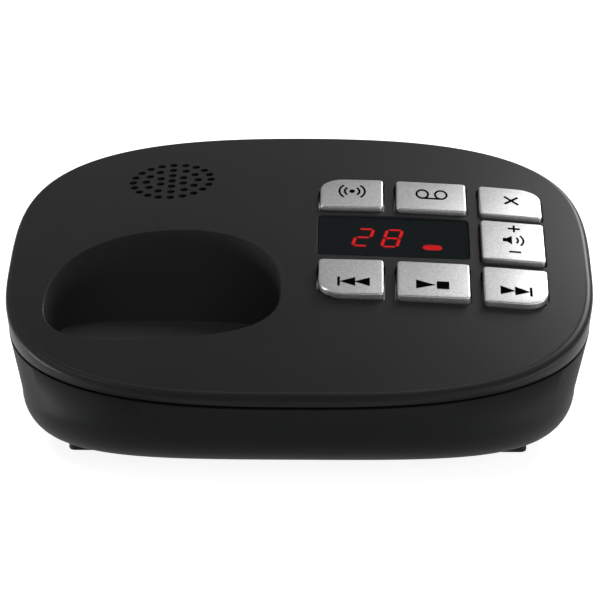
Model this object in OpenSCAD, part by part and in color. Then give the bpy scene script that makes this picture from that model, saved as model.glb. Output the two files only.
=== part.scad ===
// Base station of a cordless telephone with answering machine.
// The origin is on the table under the middle of the case, the front faces -Y.

/* [Case shell] */
// Width of the case at its rim
case_w = 132; // [130:1:138]
// Depth of the case at its rim
case_d = 116.5; // [115:0.5:122]
// Place of the widest line, from the middle of the depth
wide_y = -3.3; // [-4.5:0.1:-2]
// Squareness of the front outline
front_exp = 2.67; // [2.5:0.01:3]
// Squareness of the back outline
back_exp = 3.4; // [3.2:0.05:4]
// Squareness of the front outline at the base
base_exp = 3.7; // [3.4:0.05:4.5]
// Height of the top face over the middle of the case
top_h = 39.5; // [38:0.5:44]
// Tilt of the top face over the middle of the case, back edge up
top_tilt = 15.5; // [14:0.1:17]
// Radius of the top's crown from side to side
crown_r = 532; // [450:1:700]
// Radius of the top's crown from front to back
bow_r = 450; // [400:1:700]
// Reach of the rounded rim, inwards
rim_in = 1.7; // [1.5:0.05:2.2]
// Drop of the rounded rim
rim_drop = 1.7; // [1.4:0.05:2]
// Wall thickness of both mouldings
wall = 2.2; // [1.8:0.1:2.6]
// Height of the cover's edge at the front, down to the parting line
front_edge = 3.45; // [3.4:0.05:4.5]
// Tilt of the parting line
part_tilt = 9.2; // [8.5:0.1:10]
// Open groove at the parting line
part_gap = 0.5; // [0.3:0.05:0.8]
// Inset of the wall at the parting line
part_in = 0.65; // [0.4:0.05:1]
// Inward draw of the lower wall at the sides and the back
case_draft = 3.5; // [2.5:0.1:4]
// Inward draw of the lower wall at the front, where it is lowest
front_draft = 1.3; // [0.8:0.1:2]
// Radius of the rounded edge of the base
base_round = 10.5; // [9:0.1:11]
// Thickness of the lip that lines up the two mouldings
lip_t = 1; // [0.8:0.1:1.2]

/* [Handset well] */
// Middle of the well, from the middle of the case
well_x = -30.25; // [-31:0.05:-29.75]
// Line of the well's greatest width
well_y = -19.95; // [-21:0.05:-19]
// Width of the well's mouth
well_w = 52.6; // [48:0.1:53]
// Reach of the mouth towards the back
well_back = 27; // [26:0.1:29]
// Reach of the mouth towards the front
well_front = 17; // [16.5:0.1:18]
// Squareness of the mouth's back
well_back_exp = 2.2; // [2:0.01:2.6]
// Squareness of the mouth's front
well_front_exp = 2.69; // [2.4:0.01:2.8]
// Height of the well's floor
floor_z = 22.5; // [22:0.1:24]
// Width of the floor
floor_w = 50.8; // [47:0.1:51]
// Reach of the floor towards the back
floor_back = 16.15; // [15:0.05:18]
// Reach of the floor towards the front
floor_front = 16.4; // [15:0.1:16.6]
// Squareness of the floor's back
floor_exp = 3; // [2.6:0.05:3.4]
// Width of the gutter round the floor
gutter_w = 1.4; // [1:0.1:2]
// Depth of the gutter
gutter_d = 1.2; // [0.8:0.1:1.6]

/* [Keys] */
// Left edge of the key block
keys_x = 4.35; // [4.2:0.05:5]
// Width of the left column of keys
key_w1 = 14.5; // [13.5:0.1:15]
// Width of the middle column of keys
key_w2 = 16.2; // [15:0.1:16.8]
// Width of the right column of keys
key_w3 = 14.4; // [13.5:0.1:15]
// Gap between two columns
col_gap = 3; // [2.8:0.1:3.2]
// Front edge of the key block, along the top face
keys_v = -24.1; // [-24.6:0.1:-23.6]
// Length of the front row of keys
key_l1 = 14.6; // [14:0.1:15]
// Length of the volume rocker
key_l2 = 18; // [17:0.1:18.4]
// Length of the back row of keys
key_l3 = 14.6; // [14:0.1:15]
// Gap between the front row and the rocker
row_gap1 = 4.1; // [3.8:0.1:4.6]
// Gap between the rocker and the back row
row_gap2 = 3.6; // [3.4:0.1:4]
// Height of the front row above the cover
proud1 = 1.4; // [1:0.1:1.8]
// Height of the rocker above the cover
proud2 = 1.1; // [0.9:0.1:1.6]
// Height of the back row above the cover
proud3 = 1; // [0.8:0.1:1.5]
// Diameter of the pin that the volume rocker tilts on
pivot_d = 1; // [0.8:0.1:1]
// Place of the rocker's stems from its middle
rocker_stem = 6.2; // [5:0.1:6.4]
// Tilt of the rocker to each side
rocker_tilt = 4; // [2:0.5:4]
// Radius of the key block's four outer corners
key_big_r = 5.5; // [4:0.1:6.5]
// Radius of the other key corners
key_small_r = 1; // [0.6:0.1:1.4]
// Bevel round the top of a key
key_bevel = 0.5; // [0.3:0.05:0.7]
// Gap round a key in its opening
key_gap = 0.4; // [0.3:0.05:0.5]
// Reach of the flange that holds a key in
flange_w = 1; // [0.8:0.05:1.2]
// Thickness of that flange
flange_t = 1; // [0.8:0.1:1.2]
// Clearance over the flange
flange_gap = 0.4; // [0.35:0.05:0.5]
// Length of the stem under a key
stem_l = 0.7; // [0.5:0.1:0.9]
// Diameter of the stem
stem_d = 5; // [4:0.1:6]
// How far a key pushes in
key_travel = 0.7; // [0.5:0.05:0.8]

/* [Display] */
// Length of the display window along the top face
window_l = 18.6; // [17:0.1:18.8]
// Gap between the front row of keys and the window
window_off = 4.5; // [4.3:0.1:4.8]
// Corner radius of the window
window_r = 1.2; // [0.6:0.1:2]
// Thickness of the window plate
window_t = 0.6; // [0.5:0.05:0.8]
// Depth of the plate below the cover
window_in = 0.5; // [0.4:0.05:0.6]
// Width of the ledge that carries the plate
ledge_w = 1; // [0.7:0.1:1.4]
// Clearance round the plate
window_gap = 0.1; // [0.05:0.05:0.2]
// Height of a digit
digit_h = 8.4; // [7.5:0.1:9]
// Width of a digit
digit_w = 4.1; // [3.6:0.1:4.4]
// Spacing of the two digits
digit_step = 6.6; // [6.2:0.1:7]
// Slant of the digits
digit_slant = 10; // [0:1:14]
// Stroke of a lit segment
stroke = 0.85; // [0.7:0.05:1.1]
// Length of the lit message bar
bar_l = 4.4; // [3.5:0.1:5.5]
// Width of the lit message bar
bar_w = 2.5; // [2:0.1:3]

/* [Speaker] */
// Middle of the speaker, from the middle of the case
speaker_x = -30.6; // [-32:0.05:-30]
// Middle of the speaker, in from the back of the case
speaker_in = 25.7; // [25:0.1:27]
// Pitch of the rings of holes
hole_pitch = 3.05; // [2.6:0.05:3.2]
// Diameter of a hole
hole_d = 1.9; // [1.2:0.1:2]
// Diameter of the speaker
speaker_d = 26; // [24:0.5:26.5]
// Diameter of the magnet
magnet_d = 16; // [14:0.5:18]
// Thickness of the magnet
magnet_t = 5; // [4:0.5:6]

/* [Boards and sockets] */
// Thickness of both boards
board_t = 1.6; // [1.2:0.1:1.8]
// Height of the main board's underside
board_z = 9; // [8:0.1:9.5]
// Width of the main board
board_w = 86; // [80:1:86]
// Length of the main board
board_l = 68; // [64:1:68]
// Depth of the front board below the cover
front_board_in = 7.5; // [7.4:0.1:8.2]
// Thickness of the rubber key mat
mat_t = 1; // [0.8:0.1:1.2]
// Diameter of a dome on the key mat
dome_d = 7; // [6:0.1:8]
// Width of the power inlet
inlet_w = 9; // [8:0.1:10]
// Bore of the power inlet
inlet_bore = 5.5; // [5:0.1:6.3]
// Place of the power inlet from the middle
inlet_x = 13; // [12:0.5:15]
// Width of the line socket
socket_w = 13; // [12:0.1:14]
// Width of the plug hole of the line socket
socket_hole_w = 9.7; // [9:0.1:10]
// Height of that plug hole
socket_hole_h = 6.7; // [6:0.1:7.5]
// Place of the line socket from the middle
socket_x = -6; // [-8:0.5:-5]

/* [Feet and fasteners] */
// Height of the case above the table
foot_h = 2; // [1.5:0.1:3]
// Width of a foot
foot_w = 14; // [10:0.5:14]
// Length of a foot
foot_l = 10; // [8:0.5:10]
// Middle of a front foot, in from the side of the case
foot_side = 22.5; // [22:0.5:26]
// Middle of a front foot, in from the front of the case
foot_front = 30.2; // [30:0.1:34]
// Middle of a back foot, in from the side of the case
foot_back_side = 32; // [30:0.5:36]
// Middle of a back foot, in from the back of the case
foot_back = 28.2; // [28:0.1:34]
// Depth of the seat of a foot in the base
foot_seat = 0.6; // [0.4:0.1:1]
// Diameter of a case screw
screw_d = 2.8; // [2.4:0.1:3]
// Diameter of a case screw's head
screw_head_d = 5.6; // [5:0.1:5.8]
// Diameter of a board screw
small_screw_d = 2; // [1.6:0.1:2.2]
// Diameter of a board screw's head
small_head_d = 4.2; // [3.6:0.1:4.4]
// Clearance between a screw and its hole
screw_gap = 0.1; // [0.05:0.05:0.15]

/* [Charge contacts] */
// Distance between the two contacts
contact_step = 16; // [14:0.5:20]
// Place of the contacts along the well
contact_y = -30; // [-31:0.5:-28]
// Width of a contact strip
contact_w = 2.6; // [2:0.1:3]
// Thickness of a contact strip
contact_t = 0.5; // [0.4:0.05:0.6]
// Outer radius of a contact's bow
contact_r = 3.2; // [2.8:0.1:3.4]
// How far a contact gives under the handset
contact_travel = 1.2; // [0.8:0.1:1.4]
// Height of a pressed contact above the floor
contact_rest = 0.4; // [0.2:0.1:0.6]
// Clearance round a contact
contact_gap = 0.3; // [0.25:0.05:0.4]

/* [Hidden] */
$fn = 48;

// Points in half of an outline, steps over the top and round a rounded edge, points round the well
half_seg = 36;
dome_steps = 5;
rim_steps = 4;
base_steps = 5;
well_seg = 48;
well_steps = 4;
corner_steps = 6;
run_exp = 3.2;
eps = 0.01;
clear = 0.1;

ax = case_w/2;
front_b = case_d/2 + wide_y;
back_b = case_d/2 - wide_y;
wall_v = wall/cos(top_tilt);

// Heights of the top face and of the parting line
function top_z(x, y) = top_h + y*tan(top_tilt) - x*x/(2*crown_r) - y*y/(2*bow_r);
part_front = top_z(0, rim_in - case_d/2) - front_edge;
function part_z(y) = part_front + (y + case_d/2)*tan(part_tilt);

// Outline of the case drawn in by inset: along the front from left to right, then back along the rear
function run(i) = let(c = -cos(180*i/half_seg)) sign(c)*pow(abs(c), 2/run_exp);
function bow(x, a, b, n) = b*pow(max(0, 1 - pow(abs(x)/a, n)), 1/n);
function outline(inset, nf) = let(a = ax - inset, f = front_b - inset, k = back_b - inset)
  [for (i = [0:half_seg]) [a*run(i), wide_y - bow(a*run(i), a, f, nf)],
   for (i = [half_seg - 1:-1:1]) [a*run(i), wide_y + bow(a*run(i), a, k, back_exp)]];

// Rings of the shells: on the rim, on the top face, on the parting line and on a level
function rim_ring(inset, drop) = let(o = outline(inset, front_exp), e = outline(rim_in, front_exp))
  [for (i = [0:len(o) - 1]) [o[i].x, o[i].y, top_z(e[i].x, e[i].y) - drop]];
// Ring on the top face, shrunk by share s towards the middle of the widest line
function top_ring(inset, s, drop) = [for (p = outline(inset, front_exp))
  let(x = s*p.x, y = wide_y + s*(p.y - wide_y)) [x, y, top_z(x, y) - drop]];
function part_ring(inset, rise) = [for (p = outline(inset, front_exp)) [p.x, p.y, part_z(p.y) + rise]];
// The ring on a level has its own inset at the front
function base_ring(inset, front, z) = let(s = (front_b - front)/(front_b - inset))
  [for (p = outline(inset, base_exp)) [p.x, p.y < wide_y ? wide_y + s*(p.y - wide_y) : p.y, z]];

// Faces between ring r and the next
function band(r, n) = [for (i = [0:n - 1]) let(j = (i + 1)%n, a = r*n, b = (r + 1)*n)
  each [[a + i, b + i, b + j], [a + i, b + j, a + j]]];

// Closed solid through rings of equal count, its ends closed to their middles
module loft(rings) {
  n = len(rings[0]);
  m = len(rings);
  first = [for (k = [0:2]) [for (p = rings[0]) p[k]]*[for (p = rings[0]) 1]/n];
  last = [for (k = [0:2]) [for (p = rings[m - 1]) p[k]]*[for (p = rings[0]) 1]/n];
  polyhedron(
    concat([for (r = rings) each r], [first, last]),
    concat(
      [for (r = [0:m - 2]) each band(r, n)],
      [for (i = [0:n - 1]) [i, (i + 1)%n, m*n]],
      [for (i = [0:n - 1]) [(m - 1)*n + (i + 1)%n, (m - 1)*n + i, m*n + 1]]),
    convexity = 6);
}

// Frame on the top face: v runs up the slope from the middle of the case, w stands off the face
function slope(y) = atan(tan(top_tilt) - y/bow_r);
function roll(x, y) = atan(x*cos(slope(y))/crown_r);
function up_slope(v) = v*cos(top_tilt);
module panel(x, v) {
  y = up_slope(v);
  translate([x, y, top_z(x, y)]) rotate([slope(y), 0, 0]) rotate([0, roll(x, y), 0]) children();
}
// The same frame as a point: p = [u, v, w] from the frame's own origin
function panel_point(x, v, p) = let(y = up_slope(v), a = roll(x, y), t = slope(y),
  q = [p.x*cos(a) + p.z*sin(a), p.y, p.z*cos(a) - p.x*sin(a)])
  [x + q.x, y + q.y*cos(t) - q.z*sin(t), top_z(x, y) + q.y*sin(t) + q.z*cos(t)];

// Rectangle with corner radii [front left, front right, back right, back left]
module rounded(w, l, r) {
  difference() {
    square([w, l], center = true);
    for (i = [0:3]) {
      sx = i == 0 || i == 3 ? -1 : 1;
      sy = i < 2 ? -1 : 1;
      translate([sx*(w/2 - r[i]), sy*(l/2 - r[i])]) difference() {
        translate([sx > 0 ? 0 : -r[i] - 1, sy > 0 ? 0 : -r[i] - 1]) square(r[i] + 1);
        circle(r[i]);
      }
    }
  }
}

// Hollow upper moulding: rim, domed top and rabbet for the lip
rabbet = part_in + wall - lip_t - clear;
// The lip reaches nearly to the underside of the top where the cover's edge is lowest
lip_room = min([for (p = outline(part_in + wall, front_exp)) top_z(p.x, p.y) - wall_v - part_z(p.y)]);
lip_h = lip_room - 4*clear;
module cover_shell() {
  rings = concat(
    [part_ring(part_in, part_gap/2)],
    [for (i = [0:rim_steps - 1]) let(k = 90*i/rim_steps)
      rim_ring(rim_in*(1 - cos(k)), rim_drop*(1 - sin(k)))],
    [for (i = [0:dome_steps - 1]) top_ring(rim_in, 1 - i/dome_steps, 0)],
    [for (i = [dome_steps - 1:-1:0]) top_ring(part_in + wall, 1 - i/dome_steps, wall_v)],
    [part_ring(part_in + wall, lip_h + 2*clear),
     part_ring(rabbet, lip_h + 2*clear),
     part_ring(rabbet, part_gap/2)]);
  n = len(rings[0]);
  m = len(rings);
  top = rim_steps + dome_steps;
  mid_z = top_z(0, wide_y);
  bottom = [for (i = [0:n - 1]) let(j = (i + 1)%n, a = (m - 1)*n) each [[a + i, i, j], [a + i, j, a + j]]];
  polyhedron(
    concat([for (r = rings) each r], [[0, wide_y, mid_z], [0, wide_y, mid_z - wall_v]]),
    concat(
      [for (r = [0:top - 1]) each band(r, n)],
      [for (i = [0:n - 1]) [top*n + (i + 1)%n, top*n + i, m*n]],
      [for (i = [0:n - 1]) [(top + 1)*n + i, (top + 1)*n + (i + 1)%n, m*n + 1]],
      [for (r = [top + 1:m - 2]) each band(r, n)],
      bottom),
    convexity = 10);
}

// Hollow lower moulding: bowl with a rounded base and the lip on its edge
module case_shell() {
  inner_round = base_round - wall;
  low = part_in + case_draft;
  front_low = part_in + front_draft;
  front_round = base_round + case_draft - front_draft;
  rings = concat(
    [for (i = [base_steps:-1:0]) let(k = 90*i/base_steps)
      base_ring(low + base_round*(1 - cos(k)), front_low + front_round*(1 - cos(k)),
        foot_h + base_round*(1 - sin(k)))],
    [part_ring(part_in, -part_gap/2),
     part_ring(part_in + wall - lip_t, -part_gap/2),
     part_ring(part_in + wall - lip_t, lip_h),
     part_ring(part_in + wall, lip_h),
     part_ring(part_in + wall, -part_gap/2)],
    [for (i = [0:base_steps]) let(k = 90*i/base_steps)
      base_ring(low + wall + inner_round*(1 - cos(k)), front_low + wall + (front_round - wall)*(1 - cos(k)),
        foot_h + wall + inner_round*(1 - sin(k)))]);
  n = len(rings[0]);
  m = len(rings);
  polyhedron(
    [for (r = rings) each r],
    concat(
      [for (r = [0:m - 2]) each band(r, n)],
      [[for (i = [0:n - 1]) i]],
      [[for (i = [n - 1:-1:0]) (m - 1)*n + i]]),
    convexity = 10);
}

// Egg outline of the handset well, wider to the back
function egg(i, a, f, b, nf, nb) = let(t = 360*i/well_seg, c = cos(t), s = sin(t), n = s < 0 ? nf : nb)
  [well_x + a*sign(c)*pow(abs(c), 2/n), well_y + (s < 0 ? f : b)*sign(s)*pow(abs(s), 2/n)];
function mouth(out) = [for (i = [0:well_seg - 1])
  egg(i, well_w/2 + out, well_front + out, well_back + out, well_front_exp, well_back_exp)];
function floor_line(out) = [for (i = [0:well_seg - 1])
  egg(i, floor_w/2 + out, floor_front + out, floor_back + out, well_front_exp, floor_exp)];
function well_ring(s, out, drop, low) = let(m = mouth(out), f = floor_line(out))
  [for (i = [0:well_seg - 1]) let(p = m[i]*(1 - s) + f[i]*s)
    [p.x, p.y, (top_z(m[i].x, m[i].y) - drop)*(1 - s) + low*s]];
gutter_z = floor_z - gutter_d;
module well_hollow() {
  above = [for (p = mouth(0)) [p.x, p.y, top_z(p.x, p.y) + 2*wall]];
  loft(concat([for (i = [well_steps:-1:0]) well_ring(i/well_steps, 0, 0, gutter_z)], [above]));
}
module well_body() {
  loft([for (i = [well_steps:-1:0]) well_ring(i/well_steps, wall, wall_v/2, gutter_z - wall)]);
}
module well_floor() {
  translate([0, 0, gutter_z - wall/2]) linear_extrude(gutter_d + wall/2) polygon(floor_line(-gutter_w));
}

// Key block: middle and size of each key along the top face
col_w = [key_w1, key_w2, key_w3];
col_x = [keys_x + key_w1/2, keys_x + key_w1 + col_gap + key_w2/2,
  keys_x + key_w1 + key_w2 + 2*col_gap + key_w3/2];
row_l = [key_l1, key_l2, key_l3];
row_v = [keys_v + key_l1/2, keys_v + key_l1 + row_gap1 + key_l2/2,
  keys_v + key_l1 + row_gap1 + key_l2 + row_gap2 + key_l3/2];
row_up = [proud1, proud2, proud3];
// Column, row and corner radii of each key
sm = key_small_r;
locator = [0, 2, [sm, sm, sm, key_big_r]];
answer = [1, 2, [sm, sm, sm, sm]];
erase = [2, 2, [sm, sm, key_big_r, sm]];
volume = [2, 1, [sm, sm, sm, sm]];
rewind = [0, 0, [key_big_r, sm, sm, sm]];
play_stop = [1, 0, [sm, sm, sm, sm]];
forward = [2, 0, [sm, key_big_r, sm, sm]];
KEYS = [locator, answer, erase, volume, rewind, play_stop, forward];
flange_top = wall + flange_gap;
flange_low = flange_top + flange_t;
// The front board lies along the top face under the middle column, level with the rocker
front_x = col_x[1];
front_v = row_v[1];
function sag(u, v) = u*u/(2*crown_r) + pow(v - front_v, 2)/(2*bow_r);
function key_sag(k) = sag(col_x[k[0]] - front_x, row_v[k[1]]);

// Stems of a key, the room left under them and the ridge that the rocker tilts on
function stems(k) = k == volume ? [-rocker_stem, rocker_stem] : [0];
function dome_h(k) = front_board_in - mat_t - flange_low - stem_l - key_sag(k) - key_travel - 2*clear;
ridge_l = key_w3 - 2*key_small_r;
ridge_w = 2;
ridge_room = ridge_w/2*sin(rocker_tilt) + 2*clear;
ridge_sag = sag(col_x[2] + ridge_l/2 - front_x, row_v[1]);
ridge_h = front_board_in - mat_t - ridge_sag - ridge_room - flange_low;

module at_key(k) {
  panel(col_x[k[0]], row_v[k[1]]) children();
}
module key_outline(k, out) {
  rounded(col_w[k[0]] + 2*out, row_l[k[1]] + 2*out, [for (r = k[2]) r + out]);
}
// Ring round a key's top, drawn in by inset
function cap_ring(k, inset, z) = [for (c = [0:3], i = [0:corner_steps])
  let(sx = c == 0 || c == 3 ? -1 : 1, sy = c < 2 ? -1 : 1, a = 180 + 90*c + 90*i/corner_steps, r = k[2][c])
  [sx*(col_w[k[0]]/2 - r) + (r - inset)*cos(a), sy*(row_l[k[1]]/2 - r) + (r - inset)*sin(a), z]];
module key_cap(k) {
  up = row_up[k[1]];
  at_key(k) {
    low = k == volume ? flange_low : flange_low - flange_t/2;
    loft([cap_ring(k, 0, -low), cap_ring(k, 0, up - key_bevel),
      cap_ring(k, key_bevel*0.3, up - key_bevel*0.3), cap_ring(k, key_bevel, up)]);
    if (k == volume) {
      translate([0, 0, -flange_low + flange_t/2]) rotate([0, 90, 0])
        cylinder(d = pivot_d, h = col_w[k[0]] + 2*flange_w, center = true);
      translate([-ridge_l/2, -ridge_w/2, -flange_low - ridge_h])
        cube([ridge_l, ridge_w, ridge_h + flange_t/2]);
    } else translate([0, 0, -flange_low]) linear_extrude(flange_t) key_outline(k, flange_w);
    for (v = stems(k)) translate([0, v, -flange_low - stem_l]) cylinder(d = stem_d, h = stem_l + flange_t/2);
  }
}

// Speaker holes: one in the middle, then rings that all have a hole straight behind it
ring_holes = [1, 6, 12, 20];
speaker_v = (case_d/2 - speaker_in)/cos(top_tilt);
module speaker_frame() {
  panel(speaker_x, speaker_v) children();
}
module speaker_holes() {
  speaker_frame() for (r = [0:len(ring_holes) - 1], i = [0:ring_holes[r] - 1])
    rotate(90 + 360*i/ring_holes[r]) translate([r*hole_pitch, 0, -2*wall])
      cylinder(d = hole_d, h = 3*wall, $fn = 16);
}
speaker_gap = 0.3;
ring_t = 1.2;
cloth_gap = 0.3;
cloth_top = wall + cloth_gap;
cloth_t = 0.5;
gasket_t = 0.75;
gasket_w = 2.1;
basket_top = cloth_top + gasket_t + clear;
basket_t = 0.8;
basket_h = 6;
ring_below = 1.6;
ring_low = basket_top + basket_t + ring_below;
snap_in = 1;
snap_w = 4;
snap_t = 1.2;
module speaker_ring() {
  speaker_frame() {
    translate([0, 0, -ring_low]) difference() {
      cylinder(d = speaker_d + 2*speaker_gap + 2*ring_t, h = ring_low - wall/2);
      translate([0, 0, -1]) cylinder(d = speaker_d + 2*speaker_gap, h = ring_low + 1);
    }
    for (a = [90, 210, 330]) rotate(a)
      translate([speaker_d/2 + speaker_gap - snap_in, -snap_w/2, -ring_low + speaker_gap])
        cube([snap_in + ring_t/2, snap_w, snap_t]);
  }
}

// Case screws and the bosses that meet between the mouldings
left_screw_out = 4.5;
left_screw_back = 36.2;
right_screw_side = 33;
right_screw_back = 15.7;
front_screw_in = 16.2;
screw_at = [[-board_w/2 - left_screw_out, case_d/2 - left_screw_back],
  [ax - right_screw_side, case_d/2 - right_screw_back], [0, front_screw_in - case_d/2]];
boss_r = 3.2;
boss_wall = 1;
head_gap = 0.4;
screw_room = 1.5;
boss_z = 14;
screw_seat = 9.5;
screw_len = 12;
module cover_bosses() {
  for (p = screw_at) translate([p.x, p.y, boss_z + clear])
    cylinder(r = boss_r, h = top_z(p.x, p.y) - wall_v*0.55 - boss_z - clear);
}
module cover_boss_holes() {
  for (p = screw_at) translate([p.x, p.y, boss_z])
    cylinder(d = screw_d + 2*screw_gap, h = screw_seat + screw_len + screw_room - boss_z);
}

// Front board, carried by posts under the cover
post_r = 2.1;
post_edge = 0.4;
post_front = keys_v - flange_w - post_r - post_edge;
post_back = row_v[2] + key_l3/2 + flange_w + post_r + post_edge;
post_side = 1.8;
post_left = keys_x - post_side - front_x;
post_right = col_x[2] - front_x;
post_out = 1.2;
post_back_in = 0.5;
post_at = [[post_left, post_front], [post_right + post_out, post_front],
  [post_left + post_back_in, post_back], [post_right + post_out, post_back]];
front_bite = 3;
fb_left = post_at[0].x - post_r - post_edge;
fb_right = col_x[2] + key_w3/2 + flange_w - front_x;
fb_front = post_at[0].y - post_r - post_edge;
fb_back = post_at[2].y + post_r + post_edge;
module front_frame() {
  panel(front_x, front_v) translate([0, -front_v, -front_board_in]) children();
}
module cover_posts() {
  front_frame() for (p = post_at) translate([p.x, p.y, 0])
    cylinder(r = post_r, h = front_board_in - wall*0.5 - sag(p.x, p.y));
}
module cover_post_holes() {
  front_frame() for (p = post_at) translate([p.x, p.y, -1])
    cylinder(d = small_screw_d + 2*screw_gap, h = front_bite + 2);
}

// Window over the two left columns: plate sunk in the cover on a ledge
window_w = key_w1 + col_gap + key_w2 + 2*key_gap;
window_x = keys_x - key_gap + window_w/2;
window_v = keys_v + key_l1 + window_off + window_l/2;
window_seat = window_in + window_t;
module window_frame() {
  panel(window_x, window_v) children();
}
module window_opening() {
  window_frame() {
    translate([0, 0, -window_seat]) linear_extrude(3*wall)
      rounded(window_w, window_l, [for (i = [0:3]) window_r]);
    translate([0, 0, -3*wall]) linear_extrude(4*wall)
      rounded(window_w - 2*ledge_w, window_l - 2*ledge_w, [for (i = [0:3]) window_r/2]);
  }
}

// Charge contacts: bowed strips that come up through slots in the floor
contact_x = [well_x - contact_step/2, well_x + contact_step/2];
slot_l = 2*contact_r + 2*contact_gap;
slot_w = contact_w + 2*contact_gap;
holder_h = 4.2;
holder_side = 1;
holder_end = 2;
holder_top = gutter_z - wall;
leg_low = holder_top - holder_h - contact_gap;
module contact_slots() {
  for (x = contact_x) translate([x - slot_w/2, contact_y - slot_l/2, gutter_z - wall - 1])
    cube([slot_w, slot_l, 3*wall]);
}
module contact_strip(x) {
  mid = floor_z + contact_travel + contact_rest - contact_r;
  translate([x + contact_w/2, contact_y, 0]) rotate([90, 0, -90]) linear_extrude(contact_w) {
    translate([0, mid]) difference() {
      circle(contact_r);
      circle(contact_r - contact_t);
      translate([-2*contact_r, -2*contact_r]) square([4*contact_r, 2*contact_r]);
    }
    for (s = [0, 1]) mirror([s, 0]) {
      translate([contact_r - contact_t, leg_low - contact_t])
        square([contact_t, mid - leg_low + contact_t + eps]);
      translate([contact_r - contact_t, leg_low - contact_t]) square([contact_t + 1, contact_t]);
    }
  }
}

module top_cover() {
  color("#2e2e2e") difference() {
    union() {
      cover_shell();
      well_body();
      speaker_ring();
      cover_bosses();
      cover_posts();
    }
    difference() {
      well_hollow();
      well_floor();
    }
    contact_slots();
    speaker_holes();
    for (k = KEYS) at_key(k) translate([0, 0, -2*wall]) linear_extrude(3*wall) key_outline(k, key_gap);
    window_opening();
    cover_boss_holes();
    cover_post_holes();
  }
}

// Posts of the main board and the cuts for the two sockets in the back wall
board_top = board_z + board_t;
stand_side = 5;
stand_front_in = 10;
stand_back_in = 6;
stand_x = board_w/2 - stand_side;
stand_front = stand_front_in - board_l/2;
stand_back = board_l/2 - stand_back_in;
stand_at = [[-stand_x, stand_front], [stand_x, stand_front], [-stand_x, stand_back], [stand_x, stand_back]];
stand_r = 2.6;
stand_bite = 4;
inlet_h = 11;
inlet_len = 14;
socket_h = 12;
socket_len = 16;
sock_gap = 0.3;
back_in = 0.9;
back_face = case_d/2 - part_in - case_draft - back_in;
feet_at = [for (s = [-1, 1]) each [[s*(ax - foot_side), foot_front - case_d/2],
  [s*(ax - foot_back_side), case_d/2 - foot_back]]];
foot_gap = 0.15;
foot_r = 1.5;
module lower_case() {
  color("#262827") difference() {
    union() {
      case_shell();
      for (p = screw_at) translate([p.x, p.y, foot_h + wall/2])
        cylinder(r = boss_r + boss_wall, h = boss_z - foot_h - wall/2);
      for (p = stand_at) translate([p.x, p.y, foot_h + wall/2])
        cylinder(r = stand_r, h = board_z - foot_h - wall/2);
    }
    for (p = screw_at) translate([p.x, p.y, 0]) {
      cylinder(d = screw_head_d + 2*head_gap, h = screw_seat);
      cylinder(d = screw_d + 6*screw_gap, h = boss_z + 1);
    }
    for (p = stand_at) translate([p.x, p.y, board_z - stand_bite - 1])
      cylinder(d = small_screw_d + 2*screw_gap, h = stand_bite + 2);
    translate([inlet_x - inlet_w/2 - sock_gap, back_face - 2*wall, board_top - sock_gap])
      cube([inlet_w + 2*sock_gap, 6*wall, inlet_h + 2*sock_gap]);
    translate([socket_x - socket_w/2 - sock_gap, back_face - 2*wall, board_top - sock_gap])
      cube([socket_w + 2*sock_gap, 6*wall, socket_h + 2*sock_gap]);
    for (p = feet_at) translate([p.x, p.y, foot_h - 1]) linear_extrude(foot_seat + 1)
      rounded(foot_w + 2*foot_gap, foot_l + 2*foot_gap, [for (i = [0:3]) foot_r + foot_gap]);
  }
}

module locator_key() {
  color("#a8a8a8") key_cap(locator);
}
module answer_key() {
  color("#c4c4c4") key_cap(answer);
}
module erase_key() {
  color("#dedede") key_cap(erase);
}
module volume_rocker() {
  color("#dedede") key_cap(volume);
}
module rewind_key() {
  color("#a8a8a8") key_cap(rewind);
}
module play_stop_key() {
  color("#c4c4c4") key_cap(play_stop);
}
module forward_key() {
  color("#dedede") key_cap(forward);
}

module display_window() {
  color("#171c1d") window_frame() translate([0, 0, -window_seat]) linear_extrude(window_t)
    rounded(window_w - 2*window_gap, window_l - 2*window_gap, [for (i = [0:3]) window_r - window_gap]);
}

// Lit digits lie on the module's face, just behind the plate
lit_t = 0.15;
lit_top = window_seat + clear;
face_in = lit_top + lit_t;
digit_u = -6.85;
digit_v = 0.7;
module_w = 15.4;
module_l = 12.6;
bar_u = 8.9;
bar_v = -3.2;
board_clear = 0.35;
module digit_module() {
  color("#1b1b1c") window_frame()
    translate([digit_u + digit_step/2 - module_w/2, digit_v - module_l/2, -front_board_in + board_clear])
      cube([module_w, module_l, front_board_in - board_clear - face_in]);
}
// One segment from a to b, its ends pointed, leant over by the slant
function lean(p) = [p.x + p.y*tan(digit_slant), p.y];
module segment(a, b) {
  d = (b - a)/norm(b - a);
  q = [-d.y, d.x]*stroke/2;
  e = d*(stroke/2 + 0.06);
  t = d*0.06;
  polygon([for (p = [a + t, a + e + q, b - e + q, b - t, b - e - q, a + e - q]) lean(p)]);
}
module digit(on) {
  w = (digit_w - stroke)/2;
  h = (digit_h - stroke)/2;
  ends = [[[-w, h], [w, h]], [[w, h], [w, 0]], [[w, 0], [w, -h]], [[-w, -h], [w, -h]], [[-w, 0], [-w, -h]],
    [[-w, h], [-w, 0]], [[-w, 0], [w, 0]]];
  for (i = on) segment(ends[i][0], ends[i][1]);
}
module lit_digits() {
  color("#e01c1c") window_frame() translate([digit_u, digit_v, -face_in]) linear_extrude(lit_t) {
    digit([0, 1, 6, 4, 3]);
    translate([digit_step, 0]) digit([0, 1, 2, 3, 4, 5, 6]);
  }
}
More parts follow.
